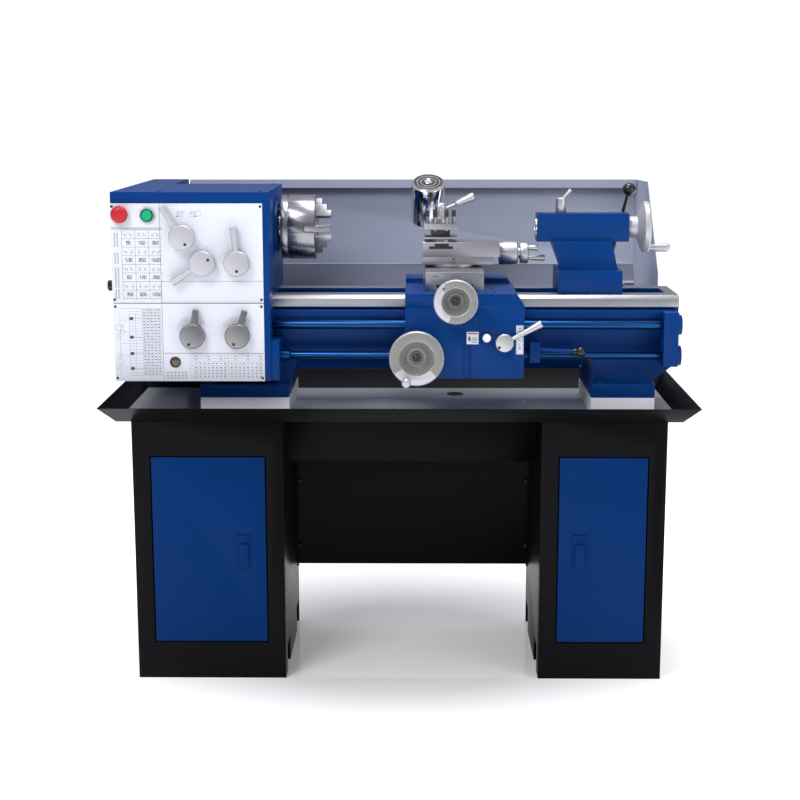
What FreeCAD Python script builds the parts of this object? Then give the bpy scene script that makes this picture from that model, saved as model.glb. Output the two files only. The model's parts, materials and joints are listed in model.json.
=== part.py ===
"""Metal lathe on a two-cabinet stand.

Millimetres. +X runs along the bed from the headstock to the tailstock, +Y points away from
the operator and +Z is up. The origin lies on the floor, in the middle of the outer anchor holes.
"""
import FreeCAD, Part
import os
import re
import Sketcher

V = FreeCAD.Vector
Rotation = FreeCAD.Rotation
TALL = 2000   # longer than any piece, for cuts that go right through

# Driving dimensions, written once.
SIZES = {
    # stand
    "cabinet_height": 590, "cabinet_depth": 400, "left_cabinet_width": 332,
    "right_cabinet_width": 275, "kneehole": 567, "cabinet_wall": 3,
    "door_margin": 41, "door_sill": 87, "door_top_margin": 80, "door_gap": 3, "door_depth": 12,
    "door_sheet": 2, "door_pin": 2, "pivot_inset": 5,
    "latch_width": 30, "latch_height": 83, "latch_sill": 251, "latch_inset": 12,
    "latch_pivot": 22, "latch_paddle": 5,
    "anchor_radius": 7, "anchor_side": 40, "anchor_end": 50,
    "access_height": 60, "access_length": 70, "access_front": 50, "access_back": 320,
    "beam_drop": 120, "beam_front": 60, "beam_depth": 40,
    "back_panel_sill": 150, "back_panel_inset": 7, "panel_flange": 25,
    "bolt_radius": 4, "bolt_head": 6.5, "bolt_head_height": 5, "upper_bolt": 366, "lower_bolt": 201,
    # chip tray
    "tray_length": 1300, "tray_depth": 520, "tray_height": 41, "tray_sheet": 2.5,
    "tray_end_slope": 30, "tray_side_slope": 60,
    # risers and pedestals
    "riser_height": 38.5, "riser_depth": 260, "left_riser_width": 198, "right_riser_width": 142,
    "left_riser_place": 177, "right_riser_place": 1045,
    "pedestal_flange": 31, "pedestal_height": 81, "pedestal_flare": 16,
    # bed
    "bed_length": 1240, "bed_width": 190, "bed_height": 144, "way_depth": 26, "way_overhang": 6,
    "way_chamfer": 8, "bed_gap": 84, "bed_window": 150, "bed_rib_height": 92,
    "rack_height": 18, "rack_drop": 32, "rack_reach": 24, "rack_margin": 40,
    "screw_reach": 35, "leadscrew_radius": 10, "leadscrew_drop": 61,
    "feed_rod_radius": 8, "feed_rod_drop": 129, "journal_radius": 7,
    "bracket_length": 32, "bracket_boss": 22, "bracket_boss_reach": 8,
    # headstock
    "headstock_span": 340, "cover_width": 85, "headstock_rise": 88, "headstock_back": 165,
    "headstock_wall": 14, "panel_reach": 92, "panel_sheet": 3, "panel_border": 13,
    "panel_top_border": 24, "panel_joint": 6, "panel_gap": 1.5,
    "gearbox_drop": 178, "gearbox_step": 88, "gearbox_reach": 18,
    "cover_back": 390, "cover_sheet": 2.5, "cover_setback": 4, "hinge_pin": 2.5,
    "centre_height": 144, "spindle_radius": 26, "spindle_bore": 13, "pulley_seat": 20,
    "bearing_radius": 45, "bearing_width": 20, "nose_radius": 28, "nose_length": 15,
    "cap_radius": 56, "cap_thickness": 8, "cap_clearance": 0.4,
    "chuck_radius": 72, "chuck_plate": 15, "chuck_length": 62, "chuck_bore": 17,
    "jaw_width": 14, "jaw_depth": 25, "jaw_inner": 24, "jaw_outer": 68, "jaw_reach": 32,
    "key_radius": 6, "key_place": 42,
    # belt drive
    "motor_back": 190, "motor_drop": 96, "motor_radius": 75, "motor_length": 225,
    "motor_setback": 10, "motor_shaft": 9.5, "spindle_pulley_radius": 60,
    "motor_pulley_radius": 32, "pulley_width": 26, "pulley_flange": 8, "pulley_inset": 22,
    "belt_thickness": 7, "belt_width": 16,
    # headstock controls
    "stop_side": 318, "stop_up": 41, "stop_radius": 18.5, "start_side": 259.6, "start_up": 39,
    "start_radius": 11, "start_bezel": 15.3, "button_shank": 8, "button_travel": 4,
    "lever_shaft": 6, "speed_knob": 27.5, "speed_knob_length": 22, "speed_arm": 50,
    "feed_knob": 27, "feed_knob_length": 20, "feed_pointer": 58,
    # carriage
    "carriage_place": 293, "carriage_length": 258, "apron_front": 103, "apron_back": 21,
    "apron_drop": 170, "saddle_lip": 15, "saddle_top": 15, "saddle_back": 106, "wing_rise": 10,
    "apron_wheel_radius": 59, "apron_wheel_side": 25, "apron_wheel_drop": 119,
    "cross_wheel_radius": 47.5, "cross_wheel_side": 108, "cross_screw_drop": 11,
    "cross_slide_width": 128, "cross_slide_front": 140, "cross_slide_back": 130,
    "cross_slide_height": 41, "dovetail_width": 70, "dovetail_height": 12, "dovetail_slant": 6,
    "swivel_radius": 60, "swivel_height": 7, "compound_length": 158, "compound_width": 90,
    "compound_base_height": 17, "top_slide_height": 32, "top_slide_overhang": 15,
    "toolpost_side": 75, "toolpost_core": 42, "toolpost_place": 41, "toolpost_seat": 7,
    "tool_slot": 17, "tool_slot_sill": 4, "toolpost_height": 34, "post_radius": 8,
    "post_height": 72, "screw_radius": 4, "screw_rise": 27, "screw_seat": 16,
    "compound_wheel_radius": 26, "halfnut_side": 214.5, "halfnut_drop": 90, "halfnut_radius": 20,
    "selector_side": 176, "selector_drop": 79, "control_gap": 15, "control_block": 23,
    "control_reach": 100, "control_lean": 3, "control_ball": 12,
    "apron_wheel_shaft": 9, "cross_boss": 8, "cross_screw_radius": 5, "grip_hole": 2.5,
    "grip_length": 50, "wheel_depth": 47, "wheel_back": 20, "wheel_boss": 0.42,
    "wheel_bowl": 0.62, "wheel_floor": 0.36, "wheel_nut": 0.2,
    # tailstock
    "tailstock_place": 634, "tailstock_base": 142, "tailstock_base_height": 51,
    "tailstock_depth": 150, "barrel_length": 206, "barrel_side": 62, "barrel_overhang": 46,
    "quill_radius": 20, "quill_bore": 9, "quill_reach": 4, "quill_socket": 70,
    "tailstock_wheel_radius": 57.5, "tailstock_screw": 8,
    "lock_place": 55, "clamp_ball": 15.5, "clamp_rise": 185,
    # splash guard and lamp
    "guard_length": 1118, "guard_top": 230, "guard_bottom": 17, "guard_back": 420,
    "guard_sheet": 2, "guard_lip": 20, "guard_lip_depth": 25, "guard_flare": 17,
    "wing_top_front": 300, "wing_low_front": 180,
    "lamp_radius": 40, "lamp_length": 100, "lamp_tilt": 28, "lamp_back": 165, "lamp_rise": 199,
    "lamp_side": 52, "lamp_arm_gap": 78, "lamp_arm_side": 65, "lamp_arm_radius": 6,
    # fits
    "gap": 0.3, "running": 0.05, "slack": 1,
}

# Levels and places that follow from them.
PLACES = {
    "left_face": "-(left_cabinet_width + kneehole + right_cabinet_width) / 2",
    "left_inner": "left_face + left_cabinet_width",
    "right_inner": "left_inner + kneehole",
    "right_face": "right_inner + right_cabinet_width",
    "stand_front": "-cabinet_depth / 2",
    "stand_back": "cabinet_depth / 2",
    "tray_floor": "cabinet_height + tray_sheet",
    "tray_rim": "cabinet_height + tray_height",
    "riser_top": "tray_floor + riser_height",
    "bed_bottom": "riser_top + pedestal_height",
    "bed_top": "bed_bottom + bed_height",
    "bed_left": "-bed_length / 2",
    "bed_right": "bed_length / 2",
    "bed_front": "-bed_width / 2",
    "web_front": "bed_front + way_overhang",
    "screw_y": "bed_front - screw_reach",
    "leadscrew_z": "bed_top - leadscrew_drop",
    "feed_rod_z": "bed_top - feed_rod_drop",
    "spindle_z": "bed_top + centre_height",
    "headstock_left": "bed_left + cover_width",
    "headstock_right": "bed_left + headstock_span",
    "headstock_top": "spindle_z + headstock_rise",
    "panel_face": "bed_front - panel_reach",
    "casting_front": "panel_face + panel_sheet",
    "gearbox_bottom": "bed_top - gearbox_drop",
    "chuck_back": "headstock_right + nose_length",
    "chuck_face": "chuck_back + chuck_plate + chuck_length",
    "jaw_root": "jaw_depth - gap",
    "motor_z": "bed_top - motor_drop",
    "pulley_x": "bed_left + pulley_inset",
    "carriage_left": "headstock_right + carriage_place",
    "carriage_right": "carriage_left + carriage_length",
    "apron_face": "bed_front - apron_front",
    "apron_top": "bed_top - saddle_lip",
    "apron_bottom": "bed_top - apron_drop",
    "saddle_z": "bed_top + saddle_top",
    "cross_x": "carriage_left + cross_wheel_side",
    "cross_slide_z": "saddle_z + cross_slide_height",
    "cross_screw_z": "saddle_z - cross_screw_drop",
    "compound_z": "cross_slide_z + swivel_height",
    "compound_left": "cross_x - 70",
    "top_slide_z": "compound_z + compound_base_height",
    "toolpost_z": "top_slide_z + top_slide_height + toolpost_seat",
    "toolpost_x": "compound_left + toolpost_place",
    "toolpost_top": "toolpost_z + toolpost_height",
    "wheel_z": "top_slide_z + 5",
    "apron_wheel_x": "carriage_left + apron_wheel_side",
    "apron_wheel_z": "bed_top - apron_wheel_drop",
    "tailstock_left": "headstock_right + tailstock_place",
    "tailstock_right": "tailstock_left + tailstock_base",
    "barrel_left": "tailstock_left - barrel_overhang",
    "barrel_right": "barrel_left + barrel_length",
    "lock_x": "barrel_left + lock_place",
    "guard_right": "headstock_left + 5 + guard_length",
    "guard_rim": "bed_top + guard_top",
    "guard_bend": "bed_top + guard_bottom",
    "lamp_x": "carriage_left + lamp_side",
    "lamp_arm_x": "carriage_left + lamp_arm_side",
    "lamp_arm_y": "lamp_back + lamp_arm_gap",
    "lamp_joint_z": "bed_top + lamp_rise",
}

doc = FreeCAD.newDocument("metal_lathe")
sheet = doc.addObject("Spreadsheet::Sheet", "sizes")
for row, (name, value) in enumerate(SIZES.items(), 1):
    sheet.set(f"A{row}", name)
    sheet.set(f"B{row}", str(value))
    sheet.setAlias(f"B{row}", name)
doc.recompute()

WORD = re.compile(r"[a-z_]+")
AIMS = {   # turns +X of a turned piece to the way that it points
    "+X": Rotation(), "-X": Rotation(V(0, 0, 1), 180),
    "+Y": Rotation(V(0, 0, 1), 90), "-Y": Rotation(V(0, 0, 1), -90),
    "+Z": Rotation(V(0, 1, 0), -90), "-Z": Rotation(V(0, 1, 0), 90),
}
pieces = {}


def formula(text):
    """A formula in named sizes, written as an expression of the sheet."""
    def swap(word):
        word = word[0]
        if word in PLACES:
            return "(" + formula(PLACES[word]) + ")"
        return "sizes." + word if word in SIZES else word
    return WORD.sub(swap, str(text))


def worth(text):
    """What a formula comes to now."""
    result = sheet.evalExpression(formula(text))
    return float(getattr(result, "Value", result))


def bind(thing, **fields):
    """Bind properties of a thing to formulas."""
    for name, text in fields.items():
        thing.setExpression(name, formula(text))
    return thing


def place(thing, at, turn=None):
    """Put a thing at three formulas, turned."""
    if turn is not None:
        thing.Placement = FreeCAD.Placement(V(0, 0, 0), turn)
    for axis, text in zip("xyz", at):
        thing.setExpression("Placement.Base." + axis, formula(text))
    return thing


def box(name, x, y, z):
    """A box between pairs of formulas."""
    thing = doc.addObject("Part::Box", name)
    bind(thing, Length=f"({x[1]}) - ({x[0]})", Width=f"({y[1]}) - ({y[0]})",
         Height=f"({z[1]}) - ({z[0]})")
    return place(thing, (x[0], y[0], z[0]))


def rod(name, aim, at, length, radius, tip=None, lean=None):
    """A round rod, or a tapered one with another radius at its tip, from a point along an aim."""
    kind = "Part::Cylinder" if tip is None else "Part::Cone"
    thing = doc.addObject(kind, name)
    if tip is None:
        bind(thing, Radius=radius, Height=length)
    else:
        bind(thing, Radius1=radius, Radius2=tip, Height=length)
    turn = AIMS[aim] * Rotation(V(0, 1, 0), 90)
    return place(thing, at, turn if lean is None else lean * turn)


def ball(name, radius, at):
    """A ball about a point."""
    return place(bind(doc.addObject("Part::Sphere", name), Radius=radius), at)


def outline(sketch, points):
    """Draw a closed outline whose corners are bound to pairs of formulas."""
    values = [(worth(x), worth(y)) for x, y in points]
    first = sketch.GeometryCount
    for start, end in zip(values, values[1:] + values[:1]):
        sketch.addGeometry(Part.LineSegment(V(*start, 0), V(*end, 0)))
    count = len(values)
    for corner in range(count):
        this, following = first + corner, first + (corner + 1) % count
        sketch.addConstraint(Sketcher.Constraint("Coincident", this, 2, following, 1))
    for corner, (value, text) in enumerate(zip(values, points)):
        for kind, number, words in zip(("DistanceX", "DistanceY"), value, text):
            index = sketch.addConstraint(
                Sketcher.Constraint(kind, -1, 1, first + corner, 1, number))
            sketch.setExpression(f"Constraints[{index}]", formula(words))


def plane(body, role):
    """One of a body's own origin planes."""
    return next(item for item in body.Origin.OriginFeatures if item.Role == role)


def drawn(name, role, points):
    """A new body with an outline drawn on one of its planes."""
    body = doc.addObject("PartDesign::Body", name)
    sketch = body.newObject("Sketcher::SketchObject", name + "_outline")
    sketch.AttachmentSupport = [(plane(body, role), "")]
    sketch.MapMode = "FlatFace"
    outline(sketch, points)
    return body, sketch


def turned(name, aim, at, points, lean=None):
    """A body turned about its aim from an outline of (distance along, radius) pairs."""
    body, sketch = drawn(name, "XY_Plane", points)
    turn = body.newObject("PartDesign::Revolution", name + "_turn")
    turn.Profile = sketch
    turn.ReferenceAxis = (sketch, ["H_Axis"])
    turn.Angle = 360
    return place(body, at, AIMS[aim] if lean is None else lean * AIMS[aim])


def padded(name, role, at, points, length, turn=None, midplane=False):
    """A body padded from an outline: YZ towards +X, XZ towards -Y, XY towards +Z."""
    body, sketch = drawn(name, role, points)
    pad = body.newObject("PartDesign::Pad", name + "_pad")
    pad.Profile = sketch
    pad.setExpression("Length", formula(length))
    pad.Midplane = midplane
    return place(body, at, turn)


def cut(name, base, *tools):
    """A base less its tools."""
    for number, tool in enumerate(tools, 1):
        result = doc.addObject("Part::Cut", f"{name}_cut{number}")
        result.Base, result.Tool = base, tool
        base = result
    return base


def fuse(name, *parts):
    """Parts joined into one solid."""
    result = doc.addObject("Part::MultiFuse", name + "_whole")
    result.Shapes = list(parts)
    result.Refine = False
    return result


def group(name, *parts):
    """Like parts kept as separate solids of one node."""
    result = doc.addObject("Part::Compound", name + "_group")
    result.Links = list(parts)
    return result


def keep(label, thing):
    """Name a finished sub-part."""
    thing.Label = label
    pieces[label] = thing
    return thing


def make_cabinet(side, left, right, inner, outer, hinge, holes):
    """A welded sheet-steel cabinet with a door opening, pivot pins, anchor and bolt holes."""
    name = side + "_cabinet"
    wall = "cabinet_wall"
    whole = box(name + "_outside", (left, right), ("stand_front", "stand_back"),
                (0, "cabinet_height"))
    room = box(name + "_room", (f"{left} + {wall}", f"{right} - {wall}"),
               (f"stand_front + {wall}", f"stand_back - {wall}"),
               (wall, f"cabinet_height - {wall}"))
    x = (f"{left} + door_margin - door_gap", f"{right} - door_margin + door_gap")
    z = ("door_sill - door_gap", "cabinet_height - door_top_margin + door_gap")
    y = ("stand_front", "stand_front + door_depth + 6")
    doorway = box(name + "_doorway", x, ("stand_front - 5", y[1]), z)
    ring = box(name + "_return", (x[0] + " - 2", x[1] + " + 2"), y, (z[0] + " - 2", z[1] + " + 2"))
    anchors = []
    for end, place_x in (("outer", f"{outer} {'-' if outer == right else '+'} anchor_side"),
                         ("inner", f"{inner} {'+' if inner == left else '-'} anchor_side")):
        for edge in ("-", ""):
            anchors.append(rod(f"{name}_{end}_anchor", "+Z",
                               (place_x, f"{edge}(stand_back - anchor_end)", -5), 20,
                               "anchor_radius"))
    accesses = [box(name + "_access", (f"{inner} - 10", f"{inner} + 10"),
                    (f"stand_front + {front}", f"stand_front + {front} + access_length"),
                    (-1, "access_height")) for front in ("access_front", "access_back")]
    pins = [rod(name + "_pin", aim, (hinge, "stand_front + pivot_inset", level),
                "door_gap + door_sheet + 4", "door_pin")
            for aim, level in (("+Z", z[0]), ("-Z", z[1]))]
    shell = cut(name, fuse(name + "_shell", cut(name + "_sheet", whole, room), ring), doorway,
                *anchors, *accesses, *holes)
    keep(name, fuse(name, shell, *pins))


def make_door(side, left, right, hinge, latch_left):
    """A folded steel door on its two pivot pins, with a latch plate and its paddle."""
    name = side + "_door"
    top = "cabinet_height - door_top_margin"
    x = (f"{left} + door_margin", f"{right} - door_margin")
    front = "stand_front"
    whole = box(name + "_outside", x, (front, f"{front} + door_depth"), ("door_sill", top))
    inside = box(name + "_inside", (x[0] + " + door_sheet", x[1] + " - door_sheet"),
                 (f"{front} + door_sheet", f"{front} + door_depth + 5"),
                 ("door_sill + door_sheet", f"{top} - door_sheet"))
    bore = rod(name + "_bore", "+Z", (hinge, "stand_front + pivot_inset", "door_sill - 5"),
               TALL, "door_pin + running")
    latch_x = (latch_left, f"{latch_left} + latch_width")
    latch_z = ("latch_sill", "latch_sill + latch_height")
    plate = box(name + "_latch_plate", latch_x, (f"{front} - 3", front), latch_z)
    keep(name, fuse(name, cut(name, whole, inside, bore), plate))
    pivot = ("latch_sill + latch_height - latch_pivot", f"{front} - 3.8 - latch_paddle / 2")
    paddle = box(side + "_paddle", (f"{latch_left} + 5", f"{latch_left} + latch_width - 5"),
                 (f"{pivot[1]} - latch_paddle / 2", f"{pivot[1]} + latch_paddle / 2"),
                 ("latch_sill + 10", pivot[0]))
    pin = rod(side + "_paddle_pin", "+X", (f"{latch_left} + 5", pivot[1], pivot[0]),
              "latch_width - 10", "latch_paddle / 2")
    keep(side + "_latch", fuse(side + "_latch", paddle, pin))


def make_back_panel():
    """The panel between the cabinets, bolted to them; gives the bolt holes of each side."""
    back = "stand_back - back_panel_inset"
    sheet_y = (f"{back} - cabinet_wall", back)
    high = ("back_panel_sill", "cabinet_height")
    web = box("back_web", ("left_inner", "right_inner"), sheet_y, high)
    flanges, bolts, holes = [], [], {}
    for side, start, end, face, aim, head_aim in (
            ("left", "left_inner", "left_inner + cabinet_wall", "left_inner + cabinet_wall",
             "-X", "+X"),
            ("right", "right_inner - cabinet_wall", "right_inner", "right_inner - cabinet_wall",
             "+X", "-X")):
        flanges.append(box("back_flange", (start, end), (f"{back} - panel_flange", back), high))
        holes[side] = []
        for level in ("upper_bolt", "lower_bolt"):
            at = (face, f"{back} - panel_flange + bolt_head + 4", level)
            holes[side].append(rod("bolt_hole", aim, at, "2 * cabinet_wall + 2",
                                   "bolt_radius + running"))
            shank = rod("bolt_shank", aim, at, "2 * cabinet_wall + 4", "bolt_radius")
            head = rod("bolt_head", head_aim, at, "bolt_head_height", "bolt_head")
            bolts.append(fuse("bolt", head, shank))
    keep("back_panel", cut("back_panel", fuse("back_sheet", web, *flanges), *holes["left"],
                           *holes["right"]))
    keep("stand_bolts", group("stand_bolts", *bolts))
    return holes


def make_stand():
    """Two cabinets with their doors, the beam and back panel between them."""
    holes = make_back_panel()
    make_cabinet("left", "left_face", "left_inner", "left_inner", "left_face",
                 "left_face + door_margin + pivot_inset", holes["left"])
    make_cabinet("right", "right_inner", "right_face", "right_inner", "right_face",
                 "right_face - door_margin - pivot_inset", holes["right"])
    make_door("left", "left_face", "left_inner", "left_face + door_margin + pivot_inset",
              "left_inner - door_margin - latch_inset - latch_width - 22")
    make_door("right", "right_inner", "right_face", "right_face - door_margin - pivot_inset",
              "right_inner + door_margin + latch_inset + 20")
    y = ("-beam_front", "beam_depth - beam_front")
    z = ("cabinet_height - beam_drop", "cabinet_height")
    beam = box("beam_outside", ("left_inner", "right_inner"), y, z)
    hollow = box("beam_inside", ("left_inner - 5", "right_inner + 5"),
                 (y[0] + " + cabinet_wall", y[1] + " + 5"),
                 (z[0] + " + cabinet_wall", z[1] + " - cabinet_wall"))
    keep("cross_beam", cut("cross_beam", beam, hollow))


def frustum(name, low, high, bottom, top):
    """A block centred on the origin whose four walls slope, from half sizes at each level."""
    thing = doc.addObject("Part::Wedge", name)
    bind(thing, Xmin="-(" + bottom[0] + ")", Xmax=bottom[0], Zmin="-(" + bottom[1] + ")",
         Zmax=bottom[1], X2min="-(" + top[0] + ")", X2max=top[0], Z2min="-(" + top[1] + ")",
         Z2max=top[1], Ymin=low, Ymax=high)
    return place(thing, (0, 0, 0), Rotation(V(1, 0, 0), 90))


def make_tray():
    """The folded chip tray and the machined risers that stand in it."""
    rim = ("tray_length / 2", "tray_depth / 2")
    foot = ("tray_length / 2 - tray_end_slope", "tray_depth / 2 - tray_side_slope")
    thick = "1.4 * tray_sheet"
    outer = frustum("tray_outside", "cabinet_height", "tray_rim", foot, rim)
    inner = frustum("tray_inside", "tray_floor", "tray_rim", tuple(f"{v} - {thick}" for v in foot),
                    tuple(f"{v} - {thick}" for v in rim))
    keep("chip_tray", cut("chip_tray", outer, inner))
    blocks = []
    for side in ("left", "right"):
        start = f"bed_left + {side}_riser_place"
        blocks.append(box("riser", (start, f"{start} + {side}_riser_width"),
                          ("-riser_depth / 2", "riser_depth / 2"), ("tray_floor", "riser_top")))
    keep("riser_blocks", group("riser_blocks", *blocks))


def make_bed():
    """The bed casting, its two pedestals, the rack ledge and the shaft bracket."""
    half = "bed_width / 2"
    web = f"{half} - way_overhang"
    sill = "bed_top - way_depth"
    right_side = [(web, "bed_bottom"), (web, f"{sill} - way_overhang"), (half, sill),
                  (half, "bed_top - way_chamfer"), (f"{half} - way_chamfer", "bed_top")]
    left_side = [(f"-({y})", z) for y, z in reversed(right_side)]
    block = padded("bed_block", "YZ_Plane", ("headstock_left", 0, 0), right_side + left_side,
                   "bed_length - cover_width")
    trough = box("bed_trough", ("headstock_right", "bed_right - 30"),
                 ("-bed_gap / 2", "bed_gap / 2"), ("bed_bottom + bed_rib_height", "bed_top + 5"))
    count = 5
    windows = []
    for number in range(count):
        start = f"headstock_right + 25 + (bed_length - headstock_span - 25) / {count} * {number}"
        windows.append(box("bed_window", (start, f"{start} + bed_window"),
                           ("-bed_gap / 2", "bed_gap / 2"), ("bed_bottom - 5", "bed_top + 5")))
    keep("bed", cut("bed", block, trough, *windows))
    feet = []
    for side in ("left", "right"):
        start = f"bed_left + {side}_riser_place"
        end = f"{start} + {side}_riser_width"
        flange_top = "riser_top + pedestal_flange"
        flange = box(side + "_foot", (start, end), ("-riser_depth / 2", "riser_depth / 2"),
                     ("riser_top", flange_top))
        reach = f"{end} + pedestal_flare" if side == "left" else "bed_right"
        points = [(start, flange_top), (end, flange_top), (reach, "bed_bottom - 9"),
                  (reach, "bed_bottom"), (f"{start} + 8", "bed_bottom")]
        neck = padded(side + "_neck", "XZ_Plane", (0, web, 0), points, f"2 * ({web})")
        feet.append(fuse(side + "_pedestal", flange, neck))
    keep("bed_pedestals", group("bed_pedestals", *feet))
    rack_top = "bed_top - rack_drop"
    keep("rack", box("rack", ("headstock_right", "bed_right - rack_margin"),
                     ("web_front - rack_reach", "web_front"), (f"{rack_top} - rack_height", rack_top)))
    start = "bed_right - rack_margin"
    plate = box("bracket_plate", (start, f"{start} + bracket_length"),
                ("screw_y - bracket_boss", "web_front"),
                ("feed_rod_z - bracket_boss", "bed_top - way_depth - way_overhang"))
    parts, bores = [plate], []
    for level in ("leadscrew_z", "feed_rod_z"):
        at = (start, "screw_y", level)
        parts.append(rod("bracket_boss", "+X", at, "bracket_length + bracket_boss_reach",
                         "bracket_boss"))
        bores.append(rod("bracket_bore", "+X", (start + " - 5", "screw_y", level), 100,
                         "journal_radius + running"))
    keep("leadscrew_bracket", cut("leadscrew_bracket", fuse("bracket_body", *parts), *bores))
    for name, radius, left, level in (
            ("leadscrew", "leadscrew_radius", "headstock_right", "leadscrew_z"),
            ("feed_rod", "feed_rod_radius", "headstock_right + gearbox_reach", "feed_rod_z")):
        shoulder = f"{start} - ({left}) - 2 * gap"
        points = [(-12, 0), (-12, "journal_radius"), (0, "journal_radius"), (0, radius),
                  (shoulder, radius), (shoulder, "journal_radius"),
                  (f"{shoulder} + bracket_length", "journal_radius"),
                  (f"{shoulder} + bracket_length", 0)]
        keep(name, turned(name, "+X", (f"{left} + gap", "screw_y", level), points))


def panel_holes(names, clearance="slack"):
    """Holes through the front for a list of shafts: (side, up, radius)."""
    return [rod("shaft_hole", "+Y", (f"headstock_right - {side}", "panel_face - 10",
                                     f"spindle_z + {up}"), 40, f"{radius} + {clearance}")
            for side, up, radius in names]


# Lever shafts on the headstock front: distance left of its right face, height over the spindle,
# and how far the arm leans from upright, clockwise.
SPEED_LEVERS = [(185.4, -8, -31), (142.5, -63.6, -122), (68.8, -63.5, -4)]
FEED_LEVERS = [(167.9, -221, 9), (70.1, -221, 17)]


def make_headstock():
    """Castings, plates, covers, bearings and the bearing cap."""
    x = ("headstock_left", "headstock_right")
    wall = "headstock_wall"
    y = ("casting_front", "headstock_back")
    upper = box("housing_outside", x, y, ("bed_top", "headstock_top"))
    room = box("housing_room", (f"{x[0]} + {wall}", f"{x[1]} - {wall}"),
               (f"{y[0]} + {wall}", f"{y[1]} - {wall}"),
               (f"bed_top + {wall}", f"headstock_top - {wall}"))
    left_seat = rod("left_seat", "+X", (x[0] + " - 5", 0, "spindle_z"), "headstock_wall + 10",
                    "bearing_radius")
    right_seat = rod("right_seat", "+X", (f"{x[1]} - {wall} - 5", 0, "spindle_z"),
                     "headstock_wall + 10", "bearing_radius")
    speed_shafts = [(side, up, "lever_shaft") for side, up, lean in SPEED_LEVERS]
    feed_shafts = [(side, up, "lever_shaft") for side, up, lean in FEED_LEVERS]
    cap = turned("bearing_cap", "+X", ("headstock_right", 0, "spindle_z"), [
        (0, "nose_radius + cap_clearance"), (0, "cap_radius"), ("cap_thickness - 2", "cap_radius"),
        ("cap_thickness", "cap_radius - 2"), ("cap_thickness", "nose_radius + cap_clearance")])
    casting = cut("headstock_casting", upper, room, left_seat, right_seat,
                  *panel_holes(speed_shafts, "running"))
    keep("headstock_housing", fuse("headstock_housing", casting, cap))
    lower = box("gearbox_outside", x, (y[0], "bed_front"), ("gearbox_bottom", "bed_top"))
    step = box("gearbox_step", (x[1], "headstock_right + gearbox_reach"),
               (f"{y[0]} + 6", "bed_front"), ("gearbox_bottom", "gearbox_bottom + gearbox_step"))
    cavity = box("gearbox_room", (f"{x[0]} + {wall}", f"{x[1]} - {wall}"),
                 (f"{y[0]} + {wall}", f"bed_front - {wall}"),
                 (f"gearbox_bottom + {wall}", f"bed_top - {wall}"))
    bores = [rod("gearbox_bore", "+X", (f"{x[1]} - {wall} - 2", "screw_y", level), 60,
                 "journal_radius + running") for level in ("leadscrew_z", "feed_rod_z")]
    keep("feed_gearbox", cut("feed_gearbox", fuse("gearbox_casting", lower, step), cavity, *bores,
                             *panel_holes(feed_shafts, "running")))
    plate_x = ("bed_left", "headstock_right - panel_border")
    plate_y = ("panel_face", "casting_front")
    joint = "bed_top - panel_joint"
    upper_plate = box("upper_plate", plate_x, plate_y,
                      (joint, "headstock_top - panel_top_border"))
    lower_plate = box("lower_plate", plate_x, plate_y, ("gearbox_bottom", f"{joint} - panel_gap"))
    start_at = ("headstock_right - start_side", "panel_face", "spindle_z + start_up")
    bezel = rod("start_bezel", "-Y", start_at, 6, "start_bezel")
    buttons = [("stop_side", "stop_up", "button_shank"), ("start_side", "start_up", "start_radius")]
    upper_plate = cut("upper_panel", fuse("upper_panel", upper_plate, bezel),
                      *panel_holes(buttons, "running"), *panel_holes(speed_shafts))
    lower_plate = cut("lower_panel", lower_plate, *panel_holes(feed_shafts))
    keep("front_panels", group("front_panels", upper_plate, lower_plate))
    rings = []
    for edge, aim in (("headstock_left", "+X"), ("headstock_right", "-X")):
        ring = [(0, "spindle_radius + running"), (0, "bearing_radius - running"),
                ("bearing_width", "bearing_radius - running"),
                ("bearing_width", "spindle_radius + running")]
        rings.append(turned("bearing", aim, (edge, 0, "spindle_z"), ring))
    keep("spindle_bearings", group("spindle_bearings", *rings))


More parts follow.
